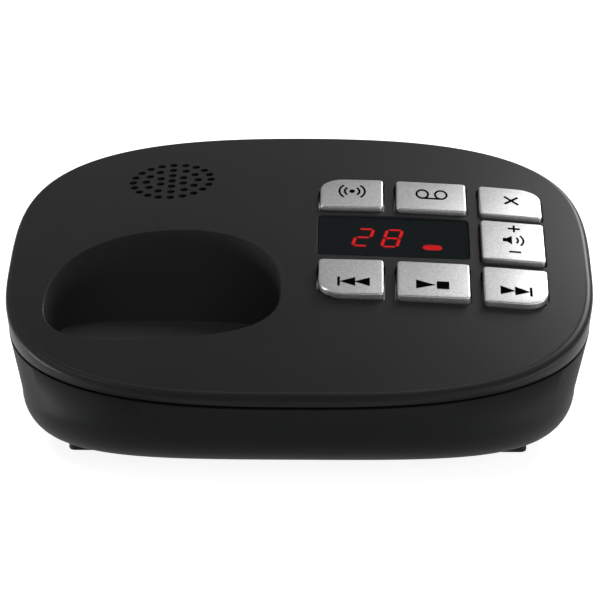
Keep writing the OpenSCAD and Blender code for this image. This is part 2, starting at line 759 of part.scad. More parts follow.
module message_light() {
  color("#e01c1c") window_frame() translate([bar_u, bar_v, -front_board_in + board_clear])
    linear_extrude(front_board_in - board_clear - lit_top) {
      square([bar_l - bar_w, bar_w], center = true);
      for (s = [-1, 1]) translate([s*(bar_l - bar_w)/2, 0]) circle(d = bar_w);
    }
}

link_u = -4;
link_v = -20;
link_w = 12;
link_t = 0.4;
plug_h = 3;
plug_l = 4;
plug_edge = 1;
fb_corners = [1.5, 4, 2, 1.5];
link_end = panel_point(front_x, front_v, [link_u, link_v - front_v, -front_board_in - board_t - plug_h]);
module front_board() {
  color("#2f5d3a") front_frame() difference() {
    union() {
      translate([(fb_left + fb_right)/2, (fb_front + fb_back)/2, -board_t]) linear_extrude(board_t)
        rounded(fb_right - fb_left, fb_back - fb_front, fb_corners);
      translate([link_u - link_w/2 - plug_edge, link_v - plug_l/2, -board_t - plug_h])
        cube([link_w + 2*plug_edge, plug_l, plug_h + eps]);
    }
    for (p = post_at) translate([p.x, p.y, -board_t - 1])
      cylinder(d = small_screw_d + 4*screw_gap, h = board_t + 2);
  }
}
small_head_h = 1.3;
module small_screw(len, turn) {
  rotate([turn, 0, 0]) {
    translate([0, 0, -len]) cylinder(d = small_screw_d, h = len + eps);
    cylinder(d = small_head_d, h = small_head_h);
  }
}
module front_board_screws() {
  color("#b9bcc0") front_frame() for (p = post_at) translate([p.x, p.y, -board_t])
    small_screw(board_t + front_bite, 180);
}
module key_mat() {
  color("#c9c7bd") front_frame() difference() {
    union() {
      translate([keys_x - front_x - flange_w/2, keys_v - flange_w/2, 0])
        cube([col_x[2] + key_w3/2 - keys_x + flange_w, row_v[2] + key_l3/2 - keys_v + flange_w, mat_t]);
      for (k = KEYS, v = stems(k))
        translate([col_x[k[0]] - front_x, row_v[k[1]] + v, 0]) cylinder(d = dome_d, h = mat_t + dome_h(k));
    }
    translate([window_x - front_x - window_w/2 + ledge_w, window_v - window_l/2 + ledge_w, -1])
      cube([window_w - 2*ledge_w, window_l - 2*ledge_w, mat_t + 2]);
  }
}

module grille_cloth() {
  color("#141414") speaker_frame() translate([0, 0, -cloth_top - cloth_t])
    cylinder(r = speaker_d/2 - gasket_w - cloth_gap, h = cloth_t);
}
module speaker_gasket() {
  color("#1d1d1f") speaker_frame() translate([0, 0, -cloth_top - gasket_t]) difference() {
    cylinder(d = speaker_d, h = gasket_t);
    translate([0, 0, -1]) cylinder(r = speaker_d/2 - gasket_w, h = gasket_t + 2);
  }
}
// Speaker: pressed basket with a terminal tab, paper cone inside it, magnet behind
neck_in = 0.6;
neck_r = magnet_d/2 - neck_in;
neck_wall = 0.6;
neck_foot = 1;
basket_rim = 1.6;
coil_hole_r = 4;
tab_l = 5;
tab_w = 6;
module speaker_basket() {
  color("#8f9498") speaker_frame() translate([0, 0, -basket_top]) {
    rotate_extrude() polygon([
      [speaker_d/2, 0], [speaker_d/2, -basket_t], [speaker_d/2 - basket_rim, -basket_t],
      [neck_r + neck_foot, -basket_h], [coil_hole_r, -basket_h], [coil_hole_r, -basket_h + basket_t],
      [neck_r + neck_foot - neck_wall, -basket_h + basket_t], [speaker_d/2 - basket_rim - basket_t, 0]]);
    translate([-tab_w/2, -neck_r - tab_l, -basket_h]) cube([tab_w, tab_l, basket_t]);
  }
}
// Cone: flare from its edge down to the dust cap, with the voice coil below
cone_in = 3;
cone_edge = 0.25;
cone_t = 0.35;
cap_r = 3.6;
cap_top = 2.2;
cone_low = 3;
coil_r = 3.8;
coil_low = 5;
module speaker_cone() {
  color("#26221f") speaker_frame() translate([0, 0, -basket_top]) rotate_extrude() polygon([
    [0, -cap_top], [cap_r, -cone_low], [speaker_d/2 - cone_in, -cone_edge],
    [speaker_d/2 - cone_in + clear, -cone_edge - cone_t], [coil_r, -cone_low - cone_t - cone_edge],
    [coil_r, -coil_low], [0, -coil_low]]);
}
module speaker_magnet() {
  color("#55585c") speaker_frame() translate([0, 0, -basket_top - basket_h - magnet_t])
    cylinder(d = magnet_d, h = magnet_t);
}
// Twin lead from the terminal tab straight down to the main board
lead_d = 1.2;
module speaker_lead() {
  color("#7a1f1f") for (s = [-1, 1]) {
    end = panel_point(speaker_x, speaker_v, [s*lead_d, lead_d - neck_r - tab_l, -basket_top - basket_h]);
    translate([end.x, end.y, board_top]) cylinder(d = lead_d, h = end.z - board_top - 2*clear);
  }
}

module left_contact() {
  color("#c9a24a") contact_strip(contact_x[0]);
}
module right_contact() {
  color("#c9a24a") contact_strip(contact_x[1]);
}
module contact_holder() {
  color("#d8d4c6") difference() {
    translate([contact_x[0] - slot_w - holder_side, contact_y - slot_l/2 - holder_end, holder_top - holder_h])
      cube([contact_step + 2*slot_w + 2*holder_side, slot_l + 2*holder_end, holder_h]);
    for (x = contact_x) translate([x - slot_w/2, contact_y - slot_l/2, holder_top - holder_h - 1])
      cube([slot_w, slot_l, holder_h + 2]);
  }
}

// Main board with a tongue for the sockets and a plug for the flat link
tongue_edge = 1.5;
tongue_gap = 0.6;
tongue_l = socket_x - socket_w/2 - tongue_edge;
tongue_r = inlet_x + inlet_w/2 + tongue_edge;
module main_board() {
  color("#2f5d3a") difference() {
    union() {
      translate([-board_w/2, -board_l/2, board_z]) cube([board_w, board_l, board_t]);
      translate([tongue_l, 0, board_z]) cube([tongue_r - tongue_l, back_face - wall - tongue_gap, board_t]);
      translate([link_end.x - link_w/2 - plug_edge, link_end.y - plug_l/2, board_top - eps])
        cube([link_w + 2*plug_edge, plug_l, plug_h + eps]);
    }
    for (p = stand_at) translate([p.x, p.y, board_z - 1])
      cylinder(d = small_screw_d + 4*screw_gap, h = board_t + 2);
  }
}
module main_board_screws() {
  color("#b9bcc0") for (p = stand_at) translate([p.x, p.y, board_top])
    small_screw(board_t + stand_bite, 0);
}
can_size = [24, 20, 3.5];
can_at = [-14, 8];
module shield_can() {
  color("#b4b8bb") translate([can_at.x - can_size.x/2, can_at.y - can_size.y/2, board_top]) cube(can_size);
}
chip_size = [12, 12, 1.4];
chip_at = [14, 4];
module processor() {
  color("#202124") translate([chip_at.x - chip_size.x/2, chip_at.y - chip_size.y/2, board_top])
    cube(chip_size);
}
cap_at = [[32, 20], [32, 10]];
cap_d = [8, 6.3];
cap_h = [11.5, 8];
module capacitors() {
  color("#27324a") for (i = [0:1]) translate([cap_at[i].x, cap_at[i].y, board_top])
    cylinder(d = cap_d[i], h = cap_h[i]);
}
trans_size = [13, 11, 10];
trans_at = [-20, 27];
module line_transformer() {
  color("#c2a845") translate([trans_at.x - trans_size.x/2, trans_at.y - trans_size.y/2, board_top])
    cube(trans_size);
}
antenna_in = 2.5;
antenna_at = [[antenna_in - board_w/2, 14], [board_w/2 - antenna_in, -6]];
antenna_size = [0.5, 12, 9];
antenna_fold = 4;
module antennas() {
  color("#b4b8bb") for (p = antenna_at) translate([p.x, p.y - antenna_size.y/2, board_top]) {
    cube(antenna_size);
    translate([p.x < 0 ? 0 : antenna_size.x - antenna_fold, 0, antenna_size.z - antenna_size.x])
      cube([antenna_fold, antenna_size.y, antenna_size.x]);
  }
}

bore_up = 0.5;
bore_deep = 9;
pin_d = 2;
pin_in = 1;
module power_inlet() {
  bore_z = inlet_h/2 + bore_up;
  color("#161616") translate([inlet_x, back_face, board_top]) {
    difference() {
      translate([-inlet_w/2, -inlet_len, 0]) cube([inlet_w, inlet_len, inlet_h]);
      translate([0, 1, bore_z]) rotate([90, 0, 0]) cylinder(d = inlet_bore, h = bore_deep + 1);
    }
    translate([0, -pin_in, bore_z]) rotate([90, 0, 0]) cylinder(d = pin_d, h = bore_deep);
  }
}
hole_deep = 12;
hole_sill = 2.4;
latch_w = 4;
latch_h = 3;
latch_sill = 1;
module line_socket() {
  color("#1b1b1b") translate([socket_x, back_face, board_top]) difference() {
    translate([-socket_w/2, -socket_len, 0]) cube([socket_w, socket_len, socket_h]);
    translate([-socket_hole_w/2, -hole_deep, hole_sill]) cube([socket_hole_w, hole_deep + 1, socket_hole_h]);
    translate([-latch_w/2, -hole_deep, latch_sill]) cube([latch_w, hole_deep + 1, latch_h]);
  }
}
module board_link() {
  low = board_top + plug_h;
  high = link_end.z - link_w/2*tan(roll(front_x, up_slope(front_v))) - 2*clear;
  color("#d9d6cc") translate([link_end.x - link_w/2, link_end.y - link_t/2, low])
    cube([link_w, link_t, high - low]);
}

module rubber_feet() {
  color("#1a1a1a") for (p = feet_at) translate([p.x, p.y, 0]) linear_extrude(foot_h + foot_seat)
    rounded(foot_w, foot_l, [for (i = [0:3]) foot_r]);
}
screw_head_h = 2;
module case_screws() {
  color("#b9bcc0") for (p = screw_at) translate([p.x, p.y, screw_seat - screw_head_h]) {
    cylinder(d = screw_head_d, h = screw_head_h);
    cylinder(d = screw_d, h = screw_head_h + screw_len);
  }
}

top_cover();
lower_case();
locator_key();
answer_key();
erase_key();
volume_rocker();
rewind_key();
play_stop_key();
forward_key();
display_window();
digit_module();
lit_digits();
message_light();
front_board();
key_mat();
front_board_screws();
grille_cloth();
speaker_gasket();
speaker_basket();
speaker_cone();
speaker_magnet();
speaker_lead();
left_contact();
right_contact();
contact_holder();
main_board();
shield_can();
processor();
capacitors();
line_transformer();
antennas();
power_inlet();
line_socket();
board_link();
main_board_screws();
rubber_feet();
case_screws();
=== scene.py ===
import math

import bpy
import numpy as np
from mathutils import Matrix, Vector
from mathutils.bvhtree import BVHTree
from mathutils.geometry import delaunay_2d_cdt
from mathutils.interpolate import poly_3d_calc


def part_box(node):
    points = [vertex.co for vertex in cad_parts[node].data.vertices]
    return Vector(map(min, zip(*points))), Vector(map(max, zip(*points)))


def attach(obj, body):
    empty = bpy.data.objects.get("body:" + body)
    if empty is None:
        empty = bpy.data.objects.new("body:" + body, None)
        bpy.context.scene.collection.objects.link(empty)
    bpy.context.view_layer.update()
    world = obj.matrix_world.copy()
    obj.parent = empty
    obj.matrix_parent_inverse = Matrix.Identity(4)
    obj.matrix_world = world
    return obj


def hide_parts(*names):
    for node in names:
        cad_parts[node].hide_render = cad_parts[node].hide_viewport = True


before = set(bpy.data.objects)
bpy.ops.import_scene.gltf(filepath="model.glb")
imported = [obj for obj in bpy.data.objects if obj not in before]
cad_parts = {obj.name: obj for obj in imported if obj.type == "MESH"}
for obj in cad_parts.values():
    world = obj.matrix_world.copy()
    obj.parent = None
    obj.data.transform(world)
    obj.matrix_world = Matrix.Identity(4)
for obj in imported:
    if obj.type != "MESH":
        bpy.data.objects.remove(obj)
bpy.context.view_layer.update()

scene = bpy.context.scene
scene.view_settings.view_transform = "Standard"

# Camera: a long lens stands off the front edge, low down and a hair to the right of the middle.
# Its height and distance give the photograph's view of the top face and of the front wall.
MM = 0.001
aim = Vector((0.06, -3.27, 26.9)) * MM
camera_rise = math.radians(14.4)
camera_turn = math.radians(0.98)
camera_off = 829 * MM
camera_angle = math.radians(9.377)
to_camera = Vector((
    math.sin(camera_turn) * math.cos(camera_rise),
    -math.cos(camera_turn) * math.cos(camera_rise),
    math.sin(camera_rise),
))
camera = bpy.data.objects.new("camera", bpy.data.cameras.new("camera"))
scene.collection.objects.link(camera)
camera.location = aim + to_camera * camera_off
camera.rotation_mode = "QUATERNION"
camera.rotation_quaternion = to_camera.to_track_quat("Z", "Y")
camera.data.angle = camera_angle
scene.camera = camera


# Floor: a sweep of white studio paper under the base. It shows as white to the eye and in
# gloss, and still takes the soft contact shadow of the feet.
def linear(code):
    """A colour written as sRGB hex, as linear red, green, blue and alpha."""
    parts = [int(code[i:i + 2], 16) / 255 for i in (1, 3, 5)]
    return [p / 12.92 if p <= 0.04045 else ((p + 0.055) / 1.055) ** 2.4 for p in parts] + [1.0]


def add(tree, kind, inputs=(), **settings):
    """Adds a node to a tree, sets it up, and fills its inputs with values or other nodes' sockets."""
    node = tree.nodes.new(kind)
    for name, value in settings.items():
        setattr(node, name, value)
    for name, value in dict(inputs).items():
        if isinstance(value, bpy.types.NodeSocket):
            tree.links.new(value, node.inputs[name])
        else:
            node.inputs[name].default_value = value
    return node


def as_material(surface):
    """Lets a function that builds a surface over Object coordinates give a material of a name."""
    def named(name, *details, **more):
        made = bpy.data.materials.new(name)
        made.use_nodes = True
        tree = made.node_tree
        tree.nodes.clear()
        place = add(tree, "ShaderNodeTexCoord").outputs["Object"]
        shader = surface(tree, place, *details, **more)
        add(tree, "ShaderNodeOutputMaterial", {"Surface": shader.outputs[0]})
        return made
    return named


def mesh_object(name, points, faces, material):
    """A new object whose mesh holds these points, in millimetres, and faces."""
    mesh = bpy.data.meshes.new(name)
    mesh.from_pydata([Vector(p) * MM for p in points], [], faces)
    mesh.materials.append(material)
    made = bpy.data.objects.new(name, mesh)
    scene.collection.objects.link(made)
    return made


floor_reach, cloud_size = 4000, 16


@as_material
def studio_paper(tree, _):
    """Matte white paper with faint clouds in it, and a white glow that only the eye, gloss and glass see.

    The clouds are laid over the floor's own span, so their scale is the number of them across it."""
    path = add(tree, "ShaderNodeLightPath")
    seen = add(tree, "ShaderNodeMath", {0: path.outputs["Is Camera Ray"], 1: path.outputs["Is Glossy Ray"]},
               operation="MAXIMUM")
    seen = add(tree, "ShaderNodeMath", {0: seen.outputs[0], 1: path.outputs["Is Transmission Ray"]},
               operation="MAXIMUM")
    cloud = add(tree, "ShaderNodeTexNoise", {"Scale": 2 * floor_reach / cloud_size, "Detail": 3.0})
    paper = add(tree, "ShaderNodeMixRGB", {
        "Fac": cloud.outputs["Fac"], 1: linear("#c4c4c4"), 2: linear("#cccccc")})
    lit_paper = add(tree, "ShaderNodeBsdfDiffuse", {"Color": paper.outputs[0]})
    white = add(tree, "ShaderNodeEmission", {"Color": linear("#ffffff"), "Strength": 0.9})
    both = add(tree, "ShaderNodeAddShader", {0: lit_paper.outputs[0], 1: white.outputs[0]})
    return add(tree, "ShaderNodeMixShader", {0: seen.outputs[0], 1: lit_paper.outputs[0], 2: both.outputs[0]})


floor = mesh_object("floor", [(-floor_reach, -floor_reach, 0), (floor_reach, -floor_reach, 0),
                              (floor_reach, floor_reach, 0), (-floor_reach, floor_reach, 0)],
                    [(0, 1, 2, 3)], studio_paper("studio_paper"))


# Light: a wide dim box and three small ones behind give the matte top and the silver keys their sheen, and
# two overhead draw the bevels of the keys. One in front fills the handset well, low strips at both sides
# light the lower case, and a dim even world stands for the room.
def soft_box(name, place, target, size, power):
    """A rectangular area light turned to its target, in metres and watts."""
    lamp = bpy.data.lights.new(name, "AREA")
    lamp.shape = "RECTANGLE"
    lamp.size, lamp.size_y = size
    lamp.energy = power
    made = bpy.data.objects.new(name, lamp)
    scene.collection.objects.link(made)
    made.location = place
    made.rotation_mode = "QUATERNION"
    made.rotation_quaternion = (Vector(place) - Vector(target)).to_track_quat("Z", "Y")


soft_box("back_box", (-0.2, 0.9, 1.0), (0, 0, 0.04), (2.0, 0.9), 1.2)
soft_box("back_right_box", (0.54, 0.86, 0.76), (0.03, 0, 0.04), (0.4, 0.45), 9.5)
soft_box("low_back_box", (0.4, 0.95, 0.55), (0.03, 0, 0.04), (0.3, 0.3), 1.7)
soft_box("high_back_box", (0.12, 0.64, 1.0), (0.03, 0, 0.04), (0.3, 0.15), 0.1)
soft_box("overhead_box", (0.0, 0.0, 1.2), (0, 0, 0.04), (0.5, 0.4), 0.9)
soft_box("high_left_box", (-0.62, 0.05, 1.0), (0, 0, 0.04), (0.35, 0.3), 2.2)
soft_box("front_box", (0.8, -1.0, 0.6), (0, 0, 0.03), (0.8, 0.6), 2.7)
soft_box("left_strip", (-1.3, 0.1, 0.011), (0, 0, 0.011), (0.6, 0.02), 14)
soft_box("right_strip", (1.3, -0.25, 0.013), (0, 0, 0.013), (1.3, 0.022), 10)
room = bpy.data.worlds.new("room")
scene.world = room
room.use_nodes = True
room.node_tree.nodes.clear()
dim = add(room.node_tree, "ShaderNodeBackground", {"Color": linear("#ffffff"), "Strength": 0.15})
add(room.node_tree, "ShaderNodeOutputWorld", {"Surface": dim.outputs[0]})


# Top cover: one injection moulding in matte black ABS, wall 2.2 mm, with a tilted and domed top.
# The handset well, the speaker holes and the openings for keys and window are moulded in.
cover_low, cover_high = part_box("top_cover")
half_w = (cover_high.x - cover_low.x) / 2 / MM
half_d = (cover_high.y - cover_low.y) / 2 / MM
# The plan is a squared oval, widest at wide_y, with its own squareness in front and behind.
wide_y = -3.3
front_square, back_square = 2.67, 3.4
top_h, top_tilt, crown_r, bow_r = 39.5, math.radians(15.5), 532, 450
rim_in, rim_drop = 1.7, 1.7
wall = 2.2
wall_drop = wall / math.cos(top_tilt)
front_edge, part_tilt, part_gap, part_in = 3.45, math.radians(9.2), 0.5, 0.65
lip_h, lip_t, lip_clear = 0.55, 1.0, 0.1
edge_break, part_break = 0.3, 0.12
rim_points, rim_steps = 280, 14


def top_height(x, y):
    """Height of the top face over a point of the plan."""
    return top_h + y * math.tan(top_tilt) - x * x / (2 * crown_r) - y * y / (2 * bow_r)


def part_height(y):
    """Height of the parting line, which rises from its distance below the front edge."""
    return top_height(0, rim_in - half_d) - front_edge + (y + half_d) * math.tan(part_tilt)


def even_shares(count):
    """Shares of the half width for points spread evenly round the rim, and which of them are in front."""
    fine_points = 40000
    turn = np.linspace(-math.pi, math.pi, fine_points, endpoint=False)
    front = np.sin(turn) < 0
    square = np.where(front, front_square, back_square)
    share = np.sign(np.cos(turn)) * np.abs(np.cos(turn)) ** (2 / square)
    line = plan_ring(0, front_square, share, front)
    length = np.concatenate(([0], np.cumsum(np.hypot(*np.diff(line, axis=0, append=line[:1]).T))))
    pick = np.searchsorted(length, np.linspace(0, length[-1], count, endpoint=False))
    return share[pick], front[pick]


def plan_ring(inset, square, share=None, front=None):
    """Outline of the case drawn in by inset, counter-clockwise from above."""
    share = rim_share if share is None else share
    front = rim_front if front is None else front
    n = np.where(front, square, back_square)
    depth = np.where(front, -(half_d + wide_y - inset), half_d - wide_y - inset)
    bow = np.maximum(0, 1 - np.abs(share) ** n) ** (1 / n)
    return np.column_stack(((half_w - inset) * share, wide_y + depth * bow))


rim_share, rim_front = even_shares(rim_points)


def top_ring(inset, drop):
    """Ring that follows the top face."""
    p = plan_ring(inset, front_square)
    return np.column_stack((p, top_height(p[:, 0], p[:, 1]) - drop))


def rim_ring(inset, drop):
    """Ring on the rounded rim, measured down from the edge of the top face."""
    p, edge = plan_ring(inset, front_square), plan_ring(rim_in, front_square)
    return np.column_stack((p, top_height(edge[:, 0], edge[:, 1]) - drop))


def part_ring(inset, rise):
    """Ring that follows the parting line."""
    p = plan_ring(inset, front_square)
    return np.column_stack((p, part_height(p[:, 1]) + rise))


def inside(points, loop):
    """Which points of the plan lie inside a closed loop."""
    x, y = points[:, 0, None], points[:, 1, None]
    ax, ay = loop[:, 0], loop[:, 1]
    bx, by = np.roll(ax, -1), np.roll(ay, -1)
    with np.errstate(divide="ignore", invalid="ignore"):
        crossed = ((ay > y) != (by > y)) & (x < (bx - ax) * (y - ay) / (by - ay) + ax)
    return crossed.sum(1) % 2 == 1


class Build:
    """Rings of points in millimetres and the faces between them, each ring counter-clockwise from above."""

    def __init__(self, place=Matrix.Identity(4)):
        self.place, self.points, self.faces = place, [], []

    def ring(self, points):
        """Points of one ring, set in the build's own place."""
        start = len(self.points)
        self.points += [self.place @ Vector(p) for p in points]
        return list(range(start, len(self.points)))

    def band(self, one, two):
        """Faces between two rings of like count."""
        count = len(one)
        self.faces += [(one[i], one[(i + 1) % count], two[(i + 1) % count], two[i]) for i in range(count)]

    def chain(self, rings):
        """Rings joined one to the next, open at both ends."""
        made = [self.ring(r) for r in rings]
        for one, two in zip(made, made[1:]):
            self.band(one, two)
        return made

    def solid(self, rings):
        """Closed solid through rings from the lowest to the highest."""
        made = self.chain(rings)
        self.faces += [tuple(reversed(made[0])), tuple(made[-1])]

    def skin(self, edge, holes, height, step, up=True):
        """Triangles over a surface from its edge ring to the rings of its holes, on a grid of that step."""
        flat = np.array([p[:2] for p in self.points])
        outer, gaps = flat[edge], [flat[h] for h in holes]

        def on_skin(points):
            return inside(points, outer) & ~np.any([inside(points, g) for g in gaps], 0)

        low, high = outer.min(0), outer.max(0)
        grid = np.stack(np.meshgrid(*[np.arange(a + step / 2, b, step) for a, b in zip(low, high)]), -1)
        grid = grid.reshape(-1, 2)
        grid = grid[on_skin(grid)]
        rims = np.concatenate([outer] + gaps)
        near_rim = step * 0.4
        grid = grid[np.array([np.hypot(*(rims - g).T).min() for g in grid]) > near_rim]
        loops = [edge] + holes
        names = [i for loop in loops for i in loop] + self.ring_flat(grid, height)
        spots = [Vector(p) for p in np.concatenate([rims, grid])]
        edges, start = [], 0
        for loop in loops:
            edges += [(start + i, start + (i + 1) % len(loop)) for i in range(len(loop))]
            start += len(loop)
        same_spot = 1e-6
        found, _, triangles, source, _, _ = delaunay_2d_cdt(spots, edges, [], 0, same_spot)
        middles = np.array([np.mean([found[i] for i in t], 0) for t in triangles])
        for t, keep in zip(triangles, on_skin(middles)):
            if keep:
                face = [names[source[i][0]] for i in t]
                self.faces.append(tuple(face if up else reversed(face)))

    def ring_flat(self, spots, height):
        """Points of a surface over spots of the plan, with no turn of the build's own place."""
        start = len(self.points)
        self.points += [Vector((x, y, height(x, y))) for x, y in spots]
        return list(range(start, len(self.points)))

    def piece(self, name, material):
        """The build as an object."""
        return mesh_object(name, self.points, self.faces, material)


def panel(x, v):
    """Frame on the top face in millimetres: u across, v up the slope from the middle, w off the face."""
    y = v * math.cos(top_tilt)
    slope = math.atan(math.tan(top_tilt) - y / bow_r)
    roll = math.atan(x * math.cos(slope) / crown_r)
    return (Matrix.Translation((x, y, top_height(x, y))) @ Matrix.Rotation(slope, 4, "X")
            @ Matrix.Rotation(roll, 4, "Y"))


def rounded(width, length, radii, steps=8):
    """Rectangle with its own radius at each corner: front left, front right, back right, back left."""
    points = []
    for corner, radius in enumerate(radii):
        sx = -1 if corner in (0, 3) else 1
        sy = -1 if corner < 2 else 1
        for i in range(steps + 1):
            turn = math.radians(180 + 90 * corner + 90 * i / steps)
            points.append((sx * (width / 2 - radius) + radius * math.cos(turn),
                           sy * (length / 2 - radius) + radius * math.sin(turn)))
    return points


def on_top(place, outline, drop=0.0, sink=0.0):
    """An outline of the panel frame, sunk along its normal and set on the top face less a drop."""
    made = [place @ Vector((u, v, -sink)) for u, v in outline]
    return [(p.x, p.y, top_height(p.x, p.y) - drop) for p in made]


def sunk_flat(place, outline, depth):
    """An outline of the panel frame, flat at a depth below it."""
    return [place @ Vector((u, v, -depth)) for u, v in outline]


# Places of the keys, in three columns and three rows, and of the window: the openings of the cover and
# the pieces that stand in them share these sizes.
keys_x, keys_v = 4.35, -24.1
column_w, column_gap = (14.5, 16.2, 14.4), 3.0
row_l, row_gap = (14.6, 18.0, 14.6), (4.1, 3.6)
row_up = (1.4, 1.1, 1.0)
column_x = [keys_x + sum(column_w[:i]) + i * column_gap + column_w[i] / 2 for i in range(3)]
row_v = [keys_v + sum(row_l[:i]) + sum(row_gap[:i]) + row_l[i] / 2 for i in range(3)]
key_gap, big_r, small_r = 0.4, 5.5, 1.0
corner = [small_r] * 4
keys = {
    "locator_key": (0, 2, corner[:3] + [big_r]),
    "answer_key": (1, 2, corner),
    "erase_key": (2, 2, corner[:2] + [big_r] + corner[3:]),
    "volume_rocker": (2, 1, corner),
    "rewind_key": (0, 0, [big_r] + corner[1:]),
    "play_stop_key": (1, 0, corner),
    "forward_key": (2, 0, corner[:1] + [big_r] + corner[2:]),
}
window_w = column_w[0] + column_gap + column_w[1] + 2 * key_gap
window_l, window_off, window_r = 18.6, 4.5, 1.2
window_x = keys_x - key_gap + window_w / 2
window_v = keys_v + row_l[0] + window_off + window_l / 2
window_in, window_t, ledge_w = 0.5, 0.6, 1.0

# Handset well, moulded in one with the cover: egg-shaped mouth on the slope, level floor with a gutter
# round it, and two slots in the floor for the charge contacts.
well_x, well_y = -30.25, -19.95
mouth = (26.3, 17.0, 27.0, 2.69, 2.2)
well_floor = (25.4, 16.4, 16.15, 2.69, 3.0)
floor_z, gutter_w, gutter_d = 22.5, 1.4, 1.2
gutter_z = floor_z - gutter_d
mouth_round, well_wall = 0.25, 2.2
well_points, well_steps, mouth_steps, body_steps = 180, 10, 6, 4
contact_step, contact_y = 16.0, -30.0
slot_w, slot_l, slot_r = 3.2, 7.0, 0.3
pad_step, top_step = 6.0, 4.0


def egg(shape, out):
    """Egg outline let out by some millimetres: half width, front reach, back reach, squareness of each."""
    half, front, back, front_n, back_n = shape
    turn = np.linspace(0, 2 * math.pi, well_points, endpoint=False)
    c, s = np.cos(turn), np.sin(turn)
    n = np.where(s < 0, front_n, back_n)
    reach = np.where(s < 0, front, back) + out
    return np.column_stack((well_x + (half + out) * np.sign(c) * np.abs(c) ** (2 / n),
                            well_y + reach * np.sign(s) * np.abs(s) ** (2 / n)))


def well_ring(share, out, drop, bottom):
    """Ring on the well's wall, from its mouth at share 0 to its floor at share 1."""
    rim, low = egg(mouth, out), egg(well_floor, out)
    share = np.broadcast_to(share, len(rim))[:, None]
    z = (top_height(rim[:, 0], rim[:, 1]) - drop)[:, None] * (1 - share) + bottom * share
    return np.column_stack((rim * (1 - share) + low * share, z))


cover = Build()
outside = cover.chain(
    [part_ring(part_in + part_break, part_gap / 2), part_ring(part_in, part_gap / 2 + part_break)]
    + [rim_ring(rim_in * (1 - math.cos(k)), rim_drop * (1 - math.sin(k)))
       for k in np.linspace(0, math.pi / 2, rim_steps + 1)])
rabbet = part_in + wall - lip_t - lip_clear
within = cover.chain([
    top_ring(part_in + wall, wall_drop),
    part_ring(part_in + wall, lip_h + 2 * lip_clear),
    part_ring(rabbet, lip_h + 2 * lip_clear),
    part_ring(rabbet, part_gap / 2)])
cover.band(within[-1], outside[0])
upper, lower = [], []
chamfer = 0.15
for column, row, radii in keys.values():
    place = panel(column_x[column], row_v[row])
    wide = rounded(column_w[column] + 2 * key_gap, row_l[row] + 2 * key_gap, [r + key_gap for r in radii])
    flare = rounded(column_w[column] + 2 * (key_gap + chamfer), row_l[row] + 2 * (key_gap + chamfer),
                    [r + key_gap + chamfer for r in radii])
    made = cover.chain([on_top(place, flare), on_top(place, wide, chamfer, chamfer),
                        on_top(place, wide, wall_drop, wall)])
    upper.append(made[0])
    lower.append(made[-1])
place = panel(window_x, window_v)
seat = window_in + window_t
frame_edge = rounded(window_w, window_l, [window_r] * 4)
frame_flare = rounded(window_w + 2 * chamfer, window_l + 2 * chamfer, [window_r + chamfer] * 4)
ledge_edge = rounded(window_w - 2 * ledge_w, window_l - 2 * ledge_w, [window_r / 2] * 4)
made = cover.chain([on_top(place, frame_flare), on_top(place, frame_edge, chamfer, chamfer),
                    sunk_flat(place, frame_edge, seat), sunk_flat(place, ledge_edge, seat),
                    on_top(place, ledge_edge, wall_drop, wall)])
upper.append(made[0])
lower.append(made[-1])

rim_line = egg(mouth, 0)
depth = top_height(rim_line[:, 0], rim_line[:, 1]) - gutter_z
rings = []
for k in np.linspace(0, math.pi / 2, mouth_steps + 1):
    line = egg(mouth, mouth_round * (1 - math.sin(k)))
    sunk = mouth_round * (1 - math.cos(k))
    lean = (egg(well_floor, 0) - rim_line) * (sunk / depth)[:, None]
    rings.append(np.column_stack((line + lean, top_height(line[:, 0], line[:, 1]) - sunk)))
start = mouth_round / depth
rings += [well_ring(start + (1 - start) * i / well_steps, 0, 0, gutter_z) for i in range(1, well_steps + 1)]
pad_line = egg(well_floor, -gutter_w)
pad_edge = egg(well_floor, -gutter_w - edge_break)
for line, z in ((pad_line, gutter_z), (pad_line, floor_z - edge_break), (pad_edge, floor_z)):
    rings.append(np.column_stack((line, np.full(len(line), z))))
hollow = cover.chain(rings)
upper.append(hollow[0])
body = cover.chain([well_ring(1 - i / body_steps, well_wall, wall_drop, gutter_z - wall)
                    for i in range(body_steps + 1)])
lower.append(body[-1])
slots_up, slots_down = [], []
for side in (-1, 1):
    slot = [(well_x + side * contact_step / 2 + u, contact_y + v)
            for u, v in rounded(slot_w, slot_l, [slot_r] * 4, steps=2)]
    made = cover.chain([[(x, y, z) for x, y in slot] for z in (floor_z, gutter_z - wall)])
    slots_up.append(made[0])
    slots_down.append(made[-1])
cover.skin(hollow[-1], slots_up, lambda x, y: floor_z, pad_step)
cover.skin(body[0], slots_down, lambda x, y: gutter_z - wall, pad_step, up=False)
cover.skin(outside[-1], upper, top_height, top_step)
cover.skin(within[0], lower, lambda x, y: top_height(x, y) - wall_drop, pad_step, up=False)


